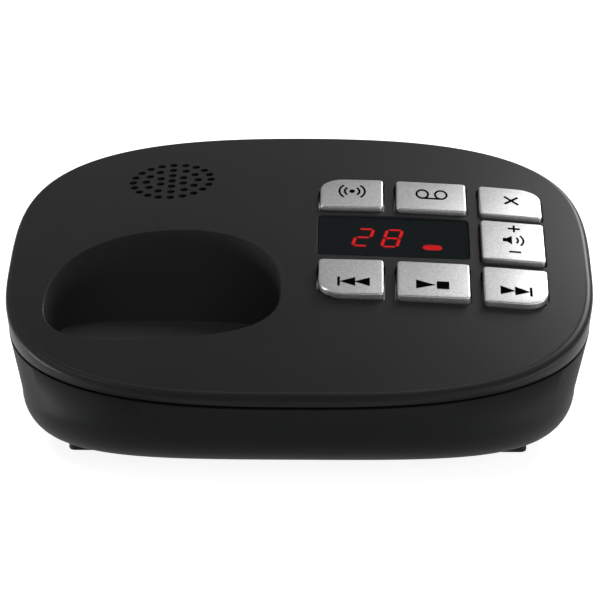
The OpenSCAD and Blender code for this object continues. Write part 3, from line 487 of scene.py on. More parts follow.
@as_material
def moulded_abs(tree, place, colour, warm, roughness, gloss, coarse=None):
    """Spark-eroded ABS: even matte black whose fine grain breaks the gloss into a soft sheen.

    The grain is drawn about four times as coarse as the real one, so that it shows. Within coarse, an oval
    of the plan given as a middle and half sizes, the mould was eroded more and the sheen is duller."""
    grain = add(tree, "ShaderNodeTexNoise", {"Vector": place, "Scale": 1 / (0.45 * MM), "Detail": 2.0})
    cloud = add(tree, "ShaderNodeTexNoise", {"Vector": place, "Scale": 1 / (14 * MM), "Detail": 2.0})
    tone = add(tree, "ShaderNodeMixRGB", {"Fac": cloud.outputs["Fac"], 1: linear(colour), 2: linear(warm)})
    speck = add(tree, "ShaderNodeMapRange", {"Value": grain.outputs["Fac"], "To Min": 0.86, "To Max": 1.14})
    tint = add(tree, "ShaderNodeVectorMath", {0: tone.outputs[0], 1: speck.outputs[0]}, operation="MULTIPLY")
    rough = add(tree, "ShaderNodeMapRange", {
        "Value": cloud.outputs["Fac"], "To Min": roughness - 0.03, "To Max": roughness + 0.03})
    if coarse:
        x, y, half_x, half_y = coarse
        away = add(tree, "ShaderNodeMapping", {
            "Vector": place, "Location": (-x / half_x, -y / half_y, 0),
            "Scale": (1 / (half_x * MM), 1 / (half_y * MM), 0)})
        reach = add(tree, "ShaderNodeVectorMath", {0: away.outputs[0]}, operation="LENGTH")
        extra = add(tree, "ShaderNodeMapRange", {
            "Value": reach.outputs["Value"], "From Min": 1.01, "From Max": 1.05, "To Min": 0.3,
            "To Max": 0.0})
        rough = add(tree, "ShaderNodeMath", {0: rough.outputs[0], 1: extra.outputs[0]}, operation="ADD")
    bump = add(tree, "ShaderNodeBump", {
        "Height": grain.outputs["Fac"], "Strength": 0.12, "Distance": 0.05 * MM})
    return add(tree, "ShaderNodeBsdfPrincipled", {
        "Base Color": tint.outputs[0], "Roughness": rough.outputs[0], "IOR": 1.45,
        "Specular IOR Level": gloss, "Normal": bump.outputs[0]})


cover_abs = moulded_abs("black_moulded_abs", "#272727", "#2b2b2b", 0.37, 0.067,
                        (well_x, well_y + (mouth[2] - mouth[1]) / 2, mouth[0], (mouth[1] + mouth[2]) / 2))

# Speaker holes in the cover: one in the middle and rings of six, twelve and twenty round it, all square
# to the slope.
speaker_x, speaker_v = -30.6, 33.8
hole_pitch, hole_d, hole_sides = 3.05, 1.9, 20
ring_holes = (6, 12, 20)


def new_tree(name, sizes):
    """A Geometry Nodes tree with a geometry input, named sizes as inputs and a geometry output."""
    made = bpy.data.node_groups.new(name, "GeometryNodeTree")
    made.interface.new_socket("Geometry", in_out="INPUT", socket_type="NodeSocketGeometry")
    for label, kind in sizes.items():
        made.interface.new_socket(label, in_out="INPUT", socket_type="NodeSocket" + kind)
    made.interface.new_socket("Geometry", in_out="OUTPUT", socket_type="NodeSocketGeometry")
    return made


def bake(piece, tree, values):
    """Runs a tree on a piece with these input values and keeps the result as a plain mesh."""
    modifier = piece.modifiers.new(tree.name, "NODES")
    modifier.node_group = tree
    for item in tree.interface.items_tree:
        if item.in_out == "INPUT" and item.name in values:
            modifier[item.identifier] = values[item.name]
    seen = piece.evaluated_get(bpy.context.evaluated_depsgraph_get())
    mesh = bpy.data.meshes.new_from_object(seen)
    piece.modifiers.remove(modifier)
    piece.data = mesh


perforate = new_tree("speaker_perforation", {
    "Pitch": "Float", "Hole Diameter": "Float", "Depth": "Float", "Place": "Vector", "Turn": "Vector",
    "Material": "Material"})
given = add(perforate, "NodeGroupInput")
spots = add(perforate, "GeometryNodeJoinGeometry")
middle = add(perforate, "GeometryNodeMeshLine", {"Count": 1})
perforate.links.new(middle.outputs[0], spots.inputs[0])
for order, count in enumerate(ring_holes, 1):
    reach = add(perforate, "ShaderNodeMath", {0: given.outputs["Pitch"], 1: float(order)},
                operation="MULTIPLY")
    circle = add(perforate, "GeometryNodeMeshCircle", {"Vertices": count, "Radius": reach.outputs[0]})
    perforate.links.new(circle.outputs[0], spots.inputs[0])
hole_r = add(perforate, "ShaderNodeMath", {0: given.outputs["Hole Diameter"], 1: 0.5}, operation="MULTIPLY")
drill = add(perforate, "GeometryNodeMeshCylinder", {
    "Vertices": hole_sides, "Radius": hole_r.outputs[0], "Depth": given.outputs["Depth"]})
drills = add(perforate, "GeometryNodeInstanceOnPoints", {
    "Points": spots.outputs[0], "Instance": drill.outputs[0]})
drills = add(perforate, "GeometryNodeRealizeInstances", {"Geometry": drills.outputs[0]})
quarter = add(perforate, "GeometryNodeTransform", {
    "Geometry": drills.outputs[0], "Rotation": (0, 0, math.pi / 2)})
placed = add(perforate, "GeometryNodeTransform", {
    "Geometry": quarter.outputs[0], "Translation": given.outputs["Place"], "Rotation": given.outputs["Turn"]})
cut = add(perforate, "GeometryNodeMeshBoolean", {
    "Mesh 1": given.outputs["Geometry"], "Mesh 2": placed.outputs[0]}, operation="DIFFERENCE", solver="EXACT")
skinned = add(perforate, "GeometryNodeSetMaterial", {
    "Geometry": cut.outputs[0], "Material": given.outputs["Material"]})
add(perforate, "NodeGroupOutput", {"Geometry": skinned.outputs[0]})

top_cover = cover.piece("cover_shell", cover_abs)
grille = panel(speaker_x, speaker_v)
bake(top_cover, perforate, {
    "Pitch": hole_pitch * MM, "Hole Diameter": hole_d * MM, "Depth": 4 * wall * MM,
    "Place": grille.translation * MM, "Turn": Vector(grille.to_euler()), "Material": cover_abs})


def smooth(piece, degrees, face_normal=None):
    """Smooth shading up to an angle, with the exact normal where face_normal gives one at a face's corner."""
    mesh = piece.data
    mesh.polygons.foreach_set("use_smooth", [True] * len(mesh.polygons))
    mesh.set_sharp_from_angle(angle=math.radians(degrees))
    if face_normal is None:
        return
    normals = [Vector(c.vector) for c in mesh.corner_normals]
    same_way = 0.99
    for polygon in mesh.polygons:
        exact = [face_normal(polygon, mesh.vertices[i].co / MM) for i in polygon.vertices]
        if all(e is not None and e.dot(polygon.normal) > same_way for e in exact):
            for loop, e in zip(polygon.loop_indices, exact):
                normals[loop] = e
    mesh.normals_split_custom_set(normals)


def top_normal(polygon, p):
    """Normal of the domed top at a point that lies on it inside the rim."""
    off_face = 0.003
    if abs(p.z - top_height(p.x, p.y)) > off_face:
        return None
    return Vector((p.x / crown_r, p.y / bow_r - math.tan(top_tilt), 1)).normalized()


smooth(top_cover, 32, top_normal)
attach(top_cover, "base")
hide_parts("top_cover")

# Lower case: a bowl moulded in the same black ABS, with a rounded base and a lip that the cover sits over.
# Its colour is painted darker than the cover's: painted shade for its walls, which take less light.
# The back wall is open for the two sockets, and the base has wells for the case screws and seats for
# the feet.
base_square, case_draft, front_draft, base_round, foot_h = 3.7, 3.5, 1.3, 10.5, 2.0
case_steps = 12
low_in, front_low = part_in + case_draft, part_in + front_draft
inner_round = base_round - wall
front_round = base_round + case_draft - front_draft


def base_ring(inset, front, z):
    """Level ring of the lower case, with its own inset at the front."""
    p = plan_ring(inset, base_square)
    reach = half_d + wide_y
    y = np.where(p[:, 1] < wide_y, wide_y + (p[:, 1] - wide_y) * (reach - front) / (reach - inset), p[:, 1])
    return np.column_stack((p[:, 0], y, np.full(len(p), z)))


bowl = Build()
quarter_turn = np.linspace(math.pi / 2, 0, case_steps + 1)
bowl.solid(
    [base_ring(low_in + base_round * (1 - math.cos(k)), front_low + front_round * (1 - math.cos(k)),
               foot_h + base_round * (1 - math.sin(k)))
     for k in quarter_turn]
    + [part_ring(part_in, -part_gap / 2 - part_break),
       part_ring(part_in + part_break, -part_gap / 2),
       part_ring(part_in + wall - lip_t, -part_gap / 2),
       part_ring(part_in + wall - lip_t, lip_h),
       part_ring(part_in + wall, lip_h),
       part_ring(part_in + wall, -part_gap / 2)]
    + [base_ring(low_in + wall + inner_round * (1 - math.cos(k)),
                 front_low + wall + (front_round - wall) * (1 - math.cos(k)),
                 foot_h + wall + inner_round * (1 - math.sin(k)))
       for k in quarter_turn[::-1]])
# Darker than the cover's colour: painted shade on the lower case's walls, not a different plastic.
case_abs_painted_shade = moulded_abs("black_case_abs_painted_shade", "#1f2020", "#232424", 0.56, 0.08)
lower_case = bowl.piece("case_bowl", case_abs_painted_shade)
smooth(lower_case, 32)
whole = lower_case.data
whole_normals = [Vector(c.vector) for c in whole.corner_normals]
whole_tree = BVHTree.FromPolygons([v.co for v in whole.vertices], [tuple(f.vertices) for f in whole.polygons])


def bowl_normal(polygon, p):
    """Normal of the uncut bowl at a corner of a face that the cuts have left of it."""
    off_face = 0.002 * MM
    _, _, index, distance = whole_tree.find_nearest(polygon.center)
    if distance > off_face:
        return None
    source = whole.polygons[index]
    shares = poly_3d_calc([whole.vertices[i].co for i in source.vertices], p * MM)
    blend = (whole_normals[i] * share for i, share in zip(source.loop_indices, shares))
    return sum(blend, Vector()).normalized()


def carve(piece, tools, operation):
    """Adds or cuts solids, given as builds, by an exact boolean."""
    for tool in tools:
        other = tool.piece("tool", piece.data.materials[0])
        modifier = piece.modifiers.new("carve", "BOOLEAN")
        modifier.operation = operation
        modifier.solver = "EXACT"
        modifier.object = other
        mesh = bpy.data.meshes.new_from_object(piece.evaluated_get(bpy.context.evaluated_depsgraph_get()))
        piece.modifiers.remove(modifier)
        piece.data = mesh
        bpy.data.objects.remove(other)


def prism(outline, low, high):
    """Upright solid over an outline of the plan."""
    made = Build()
    made.solid([[(x, y, z) for x, y in outline] for z in (low, high)])
    return made


def disc(x, y, radius, count=40):
    """Circle of the plan."""
    return [(x + radius * math.cos(2 * math.pi * i / count), y + radius * math.sin(2 * math.pi * i / count))
            for i in range(count)]


screw_at = [(18.5 - half_w, half_d - 36.2), (half_w - 33, half_d - 15.7), (0, 16.2 - half_d)]
boss_r, boss_z, screw_seat, screw_head_r, screw_r = 4.2, 14.0, 9.5, 2.8, 1.4
head_bore, shank_bore = screw_head_r + 0.4, screw_r + 0.3
carve(lower_case, [prism(disc(x, y, boss_r), foot_h + wall / 2, boss_z) for x, y in screw_at], "UNION")
carve(lower_case, [prism(disc(x, y, head_bore), 0, screw_seat) for x, y in screw_at], "DIFFERENCE")
carve(lower_case, [prism(disc(x, y, shank_bore), 0, boss_z + 1) for x, y in screw_at], "DIFFERENCE")
foot_w, foot_l, foot_r, foot_seat, foot_gap = 14.0, 10.0, 1.5, 0.6, 0.15
foot_at = [(s * (half_w - 22.5), 30.2 - half_d) for s in (-1, 1)]
foot_at += [(s * (half_w - 32), half_d - 28.2) for s in (-1, 1)]
seat_line = rounded(foot_w + 2 * foot_gap, foot_l + 2 * foot_gap, [foot_r + foot_gap] * 4, steps=6)
carve(lower_case, [prism([(x + u, y + v) for u, v in seat_line], 0, foot_h + foot_seat) for x, y in foot_at],
      "DIFFERENCE")
socket_gap, socket_cut, socket_round = 0.3, 16, 0.4
for node in ("power_inlet", "line_socket"):
    low, high = (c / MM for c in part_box(node))
    hole = rounded(high.x - low.x + 2 * socket_gap, socket_cut, [socket_round] * 4, steps=3)
    hole = [((low.x + high.x) / 2 + u, high.y + v) for u, v in hole]
    carve(lower_case, [prism(hole, low.z - socket_gap, high.z + socket_gap)], "DIFFERENCE")
smooth(lower_case, 32, bowl_normal)
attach(lower_case, "base")
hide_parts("lower_case")

# Keys: six push caps and a volume rocker, moulded in ABS and sprayed with fine silver paint.
# A cap is held under the cover by its flange and the rocker by its pivot, and their stems reach the key mat.
key_bevel, bevel_steps = 0.35, 6
flange_w, flange_top, flange_low, stem_d, stem_l = 1.0, 2.6, 3.6, 5.0, 0.7
pivot_d, rocker_stem, ridge_w, ridge_h, ridge_r = 1.0, 6.2, 2.0, 2.06, 0.4
stem_lap = 0.2


@as_material
def silver_paint(tree, place):
    """Sprayed silver on ABS: metal flake in a clear binder, satin, with a grain of bright and dull specks.

    The flakes are drawn about ten times as coarse as real ones, so that they show."""
    flake = add(tree, "ShaderNodeTexVoronoi", {"Vector": place, "Scale": 1 / (0.3 * MM)})
    grain = add(tree, "ShaderNodeTexNoise", {"Vector": place, "Scale": 1 / (0.35 * MM), "Detail": 3.0})
    pick = add(tree, "ShaderNodeSeparateColor", {"Color": flake.outputs["Color"]})
    tone = add(tree, "ShaderNodeMixRGB", {"Fac": pick.outputs[0], 1: linear("#b9b9b9"), 2: linear("#cfcfcf")})
    rough = add(tree, "ShaderNodeMapRange", {"Value": grain.outputs["Fac"], "To Min": 0.28, "To Max": 0.38})
    bump = add(tree, "ShaderNodeBump", {
        "Height": grain.outputs["Fac"], "Strength": 0.18, "Distance": 0.04 * MM})
    return add(tree, "ShaderNodeBsdfPrincipled", {
        "Base Color": tone.outputs[0], "Metallic": 0.92, "Roughness": rough.outputs[0],
        "Normal": bump.outputs[0]})


key_silver = silver_paint("silver_sprayed_abs")


def level(outline, w):
    """An outline of the panel frame at one height."""
    return [(u, v, w) for u, v in outline]


for name, (column, row, radii) in keys.items():
    up = row_up[row]
    width, length = column_w[column], row_l[row]
    cap = Build(panel(column_x[column], row_v[row]))
    rocks = name == "volume_rocker"
    neck = rounded(width, length, radii)
    skirt = rounded(width + 2 * flange_w, length + 2 * flange_w, [r + flange_w for r in radii])
    rings = [] if rocks else [level(skirt, -flange_low), level(skirt, -flange_top)]
    rings += [level(neck, -flange_low if rocks else -flange_top)]
    for k in np.linspace(0, math.pi / 2, bevel_steps + 1):
        inset = key_bevel * (1 - math.cos(k))
        rings.append(level(rounded(width - 2 * inset, length - 2 * inset, [r - inset for r in radii]),
                           up - key_bevel * (1 - math.sin(k))))
    cap.solid(rings)
    for v in (-rocker_stem, rocker_stem) if rocks else (0,):
        stem = disc(0, v, stem_d / 2, count=24)
        cap.solid([level(stem, w) for w in (-flange_low - stem_l, -flange_low + stem_lap)])
    if rocks:
        pin_w = (-flange_low - flange_top) / 2
        cap.solid([[(u, y, pin_w + z) for y, z in disc(0, 0, pivot_d / 2, count=20)]
                   for u in (-width / 2 - flange_w, width / 2 + flange_w)])
        ridge = rounded(width - 2 * small_r, ridge_w, [ridge_r] * 4, steps=2)
        cap.solid([level(ridge, w) for w in (-flange_low - ridge_h, -flange_low + stem_lap)])
    piece = cap.piece(name + "_cap", key_silver)
    smooth(piece, 40)
    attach(piece, name)
    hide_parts(name)

# Marks on the keys: black pad-printed signs for tape travel, volume, paging, answering and clearing.
# The ink is a film a few hundredths of a millimetre thick that lies on the silver.
ink_t, ink_bed = 0.03, 0.01


@as_material
def printed_ink(tree, place):
    """Pad-printing ink: dense flat black with a slight mottle where the silicone pad lifted."""
    mottle = add(tree, "ShaderNodeTexNoise", {"Vector": place, "Scale": 1 / (0.4 * MM), "Detail": 2.0})
    tone = add(tree, "ShaderNodeMixRGB", {
        "Fac": mottle.outputs["Fac"], 1: linear("#060606"), 2: linear("#0c0c0c")})
    return add(tree, "ShaderNodeBsdfPrincipled", {
        "Base Color": tone.outputs[0], "Roughness": 0.75, "Specular IOR Level": 0.0})


ink = printed_ink("black_printing_ink")


def box_line(u, v, width, length):
    """Rectangle about a middle."""
    return [(u - width / 2, v - length / 2), (u + width / 2, v - length / 2),
            (u + width / 2, v + length / 2), (u - width / 2, v + length / 2)]


def arrow(base, tip, v, height):
    """Triangle from its upright base to its tip."""
    made = [(base, v - height / 2), (tip, v), (base, v + height / 2)]
    return made if tip > base else made[::-1]


def bar(a, b, width):
    """Straight stroke between two points."""
    d = (Vector(b) - Vector(a)).normalized()
    n = Vector((-d.y, d.x)) * width / 2
    a, b = Vector(a), Vector(b)
    return [tuple(p) for p in (a - n, b - n, b + n, a + n)]


def bow(u, v, radius, width, first, last, steps=14):
    """Stroke along an arc, in degrees."""
    turns = [math.radians(first + (last - first) * i / steps) for i in range(steps + 1)]
    outer = [(u + (radius + width / 2) * math.cos(t), v + (radius + width / 2) * math.sin(t)) for t in turns]
    inner = [(u + (radius - width / 2) * math.cos(t), v + (radius - width / 2) * math.sin(t)) for t in turns]
    return outer + inner[::-1]


sign_v, sign_h, thin, thick = -2.35, 3.7, 0.5, 0.8


def tall(shapes, v, share):
    """Signs drawn taller up the slope about v, as they are seen from low in front."""
    return [[(x, v + (y - v) * share) for x, y in outline] for outline in shapes]


marks = {
    "rewind_key": [box_line(-2.75, sign_v, 0.6, sign_h + 0.1), arrow(0.95, -2.55, sign_v, sign_h),
                   arrow(4.2, 0.75, sign_v, sign_h)],
    "forward_key": [arrow(-3.55, -0.2, sign_v, sign_h), arrow(-0.3, 3.1, sign_v, sign_h),
                    box_line(3.3, sign_v, 0.6, sign_h + 0.1)],
    "play_stop_key": [arrow(-3.95, 0.4, sign_v, sign_h), box_line(2.05, sign_v, 2.8, 3.15)],
    "volume_rocker": [box_line(0.4, 5.8, 2.8, thick), box_line(0.4, 5.8 + 1.0, thin, 1.2),
                      box_line(0.4, 5.8 - 1.0, thin, 1.2), box_line(0.35, -5.2, 2.8, thick)]
    + tall([[(-2.3, -0.35), (-1.4, -0.35), (-0.2, -1.3), (-0.2, 1.9), (-1.4, 0.95), (-2.3, 0.95)],
            bow(-0.4, 0.3, 1.6, thin, -42, 42), bow(-0.4, 0.3, 2.8, thin, -42, 42)], 0.3, 1.25),
    "locator_key": tall([disc(0.1, 0.8, 0.65, 20)]
                        + [bow(0.1, 0.8, r, thin, t - 50, t + 50) for r in (1.7, 2.95) for t in (0, 180)],
                        0.8, 1.4),
    "answer_key": tall([bow(u, 0.8, 1.35, thin, t - 90, t + 90, 20) for u in (-2.0, 2.3) for t in (0, 180)]
                       + [box_line(0.15, -0.55, 4.3, thin)], 0.8, 1.6),
    "erase_key": tall([bar((-1.3, -0.6), (1.9, 2.0), 0.6), bar((1.9, -0.6), (0.55, 0.5), 0.6),
                       bar((0.05, 0.9), (-1.3, 2.0), 0.6)], 0.7, 1.5),
}
for name, shapes in marks.items():
    column, row, _ = keys[name]
    sign = Build(panel(column_x[column], row_v[row]))
    for outline in shapes:
        sign.solid([level(outline, row_up[row] + w) for w in (-ink_bed, ink_t)])
    piece = sign.piece(name + "_mark", ink)
    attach(piece, name)

# Display window: a flat plate of smoked acrylic, its edge broken, glued on the ledge in the cover.
# Behind it lie the digits and the message bar, which shine through the smoke.
window_gap, window_break = 0.1, 0.12


@as_material
def smoked_acrylic(tree, place):
    """Smoked acrylic: nearly black by daylight, polished, and clear enough for a lit segment."""
    haze = add(tree, "ShaderNodeTexNoise", {"Vector": place, "Scale": 1 / (5 * MM), "Detail": 3.0})
    rough = add(tree, "ShaderNodeMapRange", {"Value": haze.outputs["Fac"], "To Min": 0.06, "To Max": 0.14})
    return add(tree, "ShaderNodeBsdfPrincipled", {
        "Base Color": linear("#2a3b41"), "Roughness": rough.outputs[0], "IOR": 1.12,
        "Transmission Weight": 0.87})


plate = Build(panel(window_x, window_v))
wide, long = window_w - 2 * window_gap, window_l - 2 * window_gap
rings = []
for w, inset in ((-seat, window_break), (-seat + window_break, 0), (-window_in - window_break, 0),
                 (-window_in, window_break)):
    outline = rounded(wide - 2 * inset, long - 2 * inset, [window_r - window_gap - inset] * 4)
    rings.append(level(outline, w))
plate.solid(rings)
smoked = smoked_acrylic("smoked_acrylic")
window = plate.piece("window_plate", smoked)
smooth(window, 30)
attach(window, "base")
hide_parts("display_window")


# Lit digits and message bar: red light-emitting segments cast in clear red resin on a black module.
# They glow evenly with the grain of the filler, and a black sleeve keeps the bar's light to its face.
@as_material
def red_segment(tree, place, strength):
    """Lit red resin: an even glow with a faint grain of filler, which is drawn coarse so that it shows."""
    filler = add(tree, "ShaderNodeTexNoise", {"Vector": place, "Scale": 1 / (0.5 * MM), "Detail": 2.0})
    tone = add(tree, "ShaderNodeMixRGB", {
        "Fac": filler.outputs["Fac"], 1: linear("#d80606"), 2: linear("#ee0c08")})
    return add(tree, "ShaderNodeBsdfPrincipled", {
        "Base Color": linear("#5a0a0a"), "Roughness": 0.4, "Emission Color": tone.outputs[0],
        "Emission Strength": strength})


def finish_nodes(material, *nodes):
    """Gives CAD nodes that are shown as they are this material."""
    for node in nodes:
        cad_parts[node].data.materials.clear()
        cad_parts[node].data.materials.append(material)


digit_u, digit_v, digit_step, digit_w, digit_h = -6.85, 0.7, 6.6, 4.1, 8.4
digit_slant, upright_w, level_w, segment_gap = math.tan(math.radians(10)), 0.66, 0.44, 0.34
lit_top, lit_t = seat + 0.1, 0.15
digit_glow, bar_glow = 50.0, 40.0
half_u, half_v = (digit_w - upright_w) / 2, (digit_h - level_w) / 2
segment_ends = [((-half_u, half_v), (half_u, half_v)), ((half_u, half_v), (half_u, 0)),
                ((half_u, 0), (half_u, -half_v)), ((-half_u, -half_v), (half_u, -half_v)),
                ((-half_u, 0), (-half_u, -half_v)), ((-half_u, half_v), (-half_u, 0)),
                ((-half_u, 0), (half_u, 0))]
two, eight = (0, 1, 6, 4, 3), range(7)
lit = Build(panel(window_x, window_v))
for at, shown in ((digit_u, two), (digit_u + digit_step, eight)):
    for a, b in (map(Vector, segment_ends[i]) for i in shown):
        along = (b - a).normalized()
        half = (upright_w if a.x == b.x else level_w) / 2
        side = Vector((-along.y, along.x)) * half
        tip, neck = along * segment_gap, along * (segment_gap + half)
        line = [a + tip, a + neck - side, b - neck - side, b - tip, b - neck + side, a + neck + side]
        lit.solid([[(at + p.x + p.y * digit_slant, digit_v + p.y, w) for p in line]
                   for w in (-lit_top - lit_t, -lit_top)])
piece = lit.piece("digit_segments", red_segment("lit_red_resin", digit_glow))
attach(piece, "base")
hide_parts("lit_digits")
finish_nodes(red_segment("lit_red_bar", bar_glow), "message_light")
bar_u, bar_v, bar_l, bar_w = 8.9, -3.2, 4.4, 2.5
shade_gap, shade_t, shade_h, shade_top = 0.06, 0.5, 5.5, 0.03
shade = Build(panel(window_x, window_v))
rings = []
for out, w in ((shade_gap + shade_t, -seat - shade_h), (shade_gap + shade_t, -seat - shade_top),
               (shade_gap, -seat - shade_top), (shade_gap, -seat - shade_h)):
    outline = rounded(bar_l + 2 * out, bar_w + 2 * out, [bar_w / 2 + out] * 4)
    rings.append([(bar_u + u, bar_v + v, w) for u, v in outline])
made = shade.chain(rings)
shade.band(made[-1], made[0])
shade_abs = moulded_abs("black_moulded_shade", "#121212", "#161616", 0.56, 0.08)
piece = shade.piece("message_light_shade", shade_abs)
smooth(piece, 40)
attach(piece, "base")


# Feet: four pads of black rubber with a rounded sole, glued in seats under the base.
# Each stands a little out of its seat, and the four soles make the plane that the base rests on.
@as_material
def soft_rubber(tree, place, colour, dusty):
    """Moulded rubber: dull, with a fine bloom and a slight grain."""
    bloom = add(tree, "ShaderNodeTexNoise", {"Vector": place, "Scale": 1 / (2 * MM), "Detail": 4.0})
    grain = add(tree, "ShaderNodeTexNoise", {"Vector": place, "Scale": 1 / (0.3 * MM)})
    tone = add(tree, "ShaderNodeMixRGB", {"Fac": bloom.outputs["Fac"], 1: linear(colour), 2: linear(dusty)})
    bump = add(tree, "ShaderNodeBump", {
        "Height": grain.outputs["Fac"], "Strength": 0.2, "Distance": 0.05 * MM})
    return add(tree, "ShaderNodeBsdfPrincipled", {
        "Base Color": tone.outputs[0], "Roughness": 0.8, "Specular IOR Level": 0.3,
        "Normal": bump.outputs[0]})


repeat = new_tree("like_pieces_on_points", {"Instance": "Object", "Turn": "Vector", "Material": "Material"})
given = add(repeat, "NodeGroupInput")
shape = add(repeat, "GeometryNodeObjectInfo", {"Object": given.outputs["Instance"]})
copies = add(repeat, "GeometryNodeInstanceOnPoints", {
    "Points": given.outputs["Geometry"], "Instance": shape.outputs["Geometry"],
    "Rotation": given.outputs["Turn"]})
copies = add(repeat, "GeometryNodeRealizeInstances", {"Geometry": copies.outputs[0]})
finished = add(repeat, "GeometryNodeSetMaterial", {
    "Geometry": copies.outputs[0], "Material": given.outputs["Material"]})
add(repeat, "NodeGroupOutput", {"Geometry": finished.outputs[0]})


def like_pieces(name, pattern, points, material, turn=(0, 0, 0)):
    """Copies of a pattern piece on points of the frame, as one mesh; the pattern goes."""
    made = mesh_object(name, points, [], material)
    bake(made, repeat, {"Instance": pattern, "Turn": Vector(turn), "Material": material})
    bpy.data.objects.remove(pattern)
    return made


foot_rubber = soft_rubber("black_foot_rubber", "#141414", "#1e1e1e")
sole_r, sole_steps = 0.5, 4
pad = Build()
rings = []
for k in np.linspace(0, math.pi / 2, sole_steps + 1):
    inset = sole_r * (1 - math.sin(k))
    sole = rounded(foot_w - 2 * inset, foot_l - 2 * inset, [foot_r - inset] * 4, steps=6)
    rings.append(level(sole, sole_r * (1 - math.cos(k))))
rings.append(level(rounded(foot_w, foot_l, [foot_r] * 4, steps=6), foot_h + foot_seat))
pad.solid(rings)
feet = like_pieces("foot_pads", pad.piece("foot_pattern", foot_rubber),
                   [(x, y, 0) for x, y in foot_at], foot_rubber)
smooth(feet, 40)
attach(feet, "base")
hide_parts("rubber_feet")


# Screws: zinc-plated steel with pan heads and a cross recess. Three long ones join the two mouldings
# from below, four hold the main board on its stands and four hold the front board under the cover.
@as_material
def plated_steel(tree, place, bright, dull):
    """Plated steel: cool grey metal with a fine grain and a faint cloudy passivation."""
    cloud = add(tree, "ShaderNodeTexNoise", {"Vector": place, "Scale": 1 / (1.5 * MM), "Detail": 3.0})
    grain = add(tree, "ShaderNodeTexNoise", {"Vector": place, "Scale": 1 / (0.2 * MM)})
    tone = add(tree, "ShaderNodeMixRGB", {"Fac": cloud.outputs["Fac"], 1: linear(bright), 2: linear(dull)})
    rough = add(tree, "ShaderNodeMapRange", {"Value": cloud.outputs["Fac"], "To Min": 0.25, "To Max": 0.42})
    bump = add(tree, "ShaderNodeBump", {
        "Height": grain.outputs["Fac"], "Strength": 0.1, "Distance": 0.02 * MM})
    return add(tree, "ShaderNodeBsdfPrincipled", {
        "Base Color": tone.outputs[0], "Metallic": 1.0, "Roughness": rough.outputs[0],
        "Normal": bump.outputs[0]})


zinc = plated_steel("zinc_plated_steel", "#c4c7ca", "#a9acb0")


def screw_pattern(head_r, head_h, shank_r, shank_l):
    """Pan-head screw, its head downwards with the seat at the origin, and a cross cut in the head."""
    profile = [(0.55, -head_h), (0.8, -head_h * 0.95), (0.95, -head_h * 0.7), (1.0, -head_h * 0.35), (1.0, 0)]
    profile = [(head_r * share, z) for share, z in profile]
    profile += [(shank_r, 0), (shank_r, shank_l - shank_r), (shank_r * 0.3, shank_l)]
    rings = [level(disc(0, 0, r, count=32), z) for r, z in profile]
    made = Build()
    made.solid(rings)
    piece = made.piece("screw_pattern", zinc)
    cross_l, cross_w, cross_z = 2 * head_r * 0.62, head_r * 0.2, -head_h * 0.45
    tools = [prism(box_line(0, 0, *size), -head_h - 1, cross_z)
             for size in ((cross_l, cross_w), (cross_w, cross_l))]
    carve(piece, tools, "DIFFERENCE")
    return piece


screw_head_h = 2.0
low, high = (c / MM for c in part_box("case_screws"))
pattern = screw_pattern(screw_head_r, screw_head_h, screw_r, high.z - screw_seat)
case_screws = like_pieces("case_joining_screws", pattern, [(x, y, screw_seat) for x, y in screw_at], zinc)
small_head_r, small_head_h, small_shank_r = 2.1, 1.3, 1.0
board_t, main_bite, front_bite = 1.6, 4, 3
low, high = (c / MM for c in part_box("main_board_screws"))
board_top = high.z - small_head_h
corners = [(x, y, board_top) for x in (low.x + small_head_r, high.x - small_head_r)
           for y in (low.y + small_head_r, high.y - small_head_r)]
pattern = screw_pattern(small_head_r, small_head_h, small_shank_r, board_t + main_bite)
board_screws = like_pieces("main_board_fixings", pattern, corners, zinc, (math.pi, 0, 0))
front_in, post_off = 7.5, 2.5
post_front = keys_v - flange_w - post_off
post_back = row_v[2] + row_l[2] / 2 + flange_w + post_off
left_post, right_post, back_in = keys_x - 1.8, column_x[2] + 1.2, 0.5
front_face = panel(column_x[1], row_v[1])
posts = [(left_post, post_front), (right_post, post_front), (left_post + back_in, post_back),
         (right_post, post_back)]
posts = [front_face @ Vector((x - column_x[1], v - row_v[1], -front_in - board_t)) for x, v in posts]
pattern = screw_pattern(small_head_r, small_head_h, small_shank_r, board_t + front_bite)
front_screws = like_pieces("front_board_fixings", pattern, posts, zinc, tuple(front_face.to_euler()))
for piece, node in ((case_screws, "case_screws"), (board_screws, "main_board_screws"),
                    (front_screws, "front_board_screws")):
    smooth(piece, 35)
    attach(piece, "base")
    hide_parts(node)


# Charge contacts: bowed strips of gold-flashed spring brass that come up through the floor of the well.
# Their feet hook under a pale holder below the floor, and a handset presses them down.
@as_material
def gold_flash(tree, place):
    """Gold flash on brass: warm metal, drawn lengthwise, with a faint tarnish."""
    stretch = add(tree, "ShaderNodeMapping", {"Vector": place, "Scale": (1.0, 0.08, 1.0)})
    drawn = add(tree, "ShaderNodeTexNoise", {"Vector": stretch.outputs[0], "Scale": 1 / (0.15 * MM)})
    cloud = add(tree, "ShaderNodeTexNoise", {"Vector": place, "Scale": 1 / (1.2 * MM), "Detail": 3.0})
    tone = add(tree, "ShaderNodeMixRGB", {
        "Fac": cloud.outputs["Fac"], 1: linear("#d9b25a"), 2: linear("#b98f3d")})
    bump = add(tree, "ShaderNodeBump", {
        "Height": drawn.outputs["Fac"], "Strength": 0.15, "Distance": 0.02 * MM})
    return add(tree, "ShaderNodeBsdfPrincipled", {
        "Base Color": tone.outputs[0], "Metallic": 1.0, "Roughness": 0.28, "Normal": bump.outputs[0]})


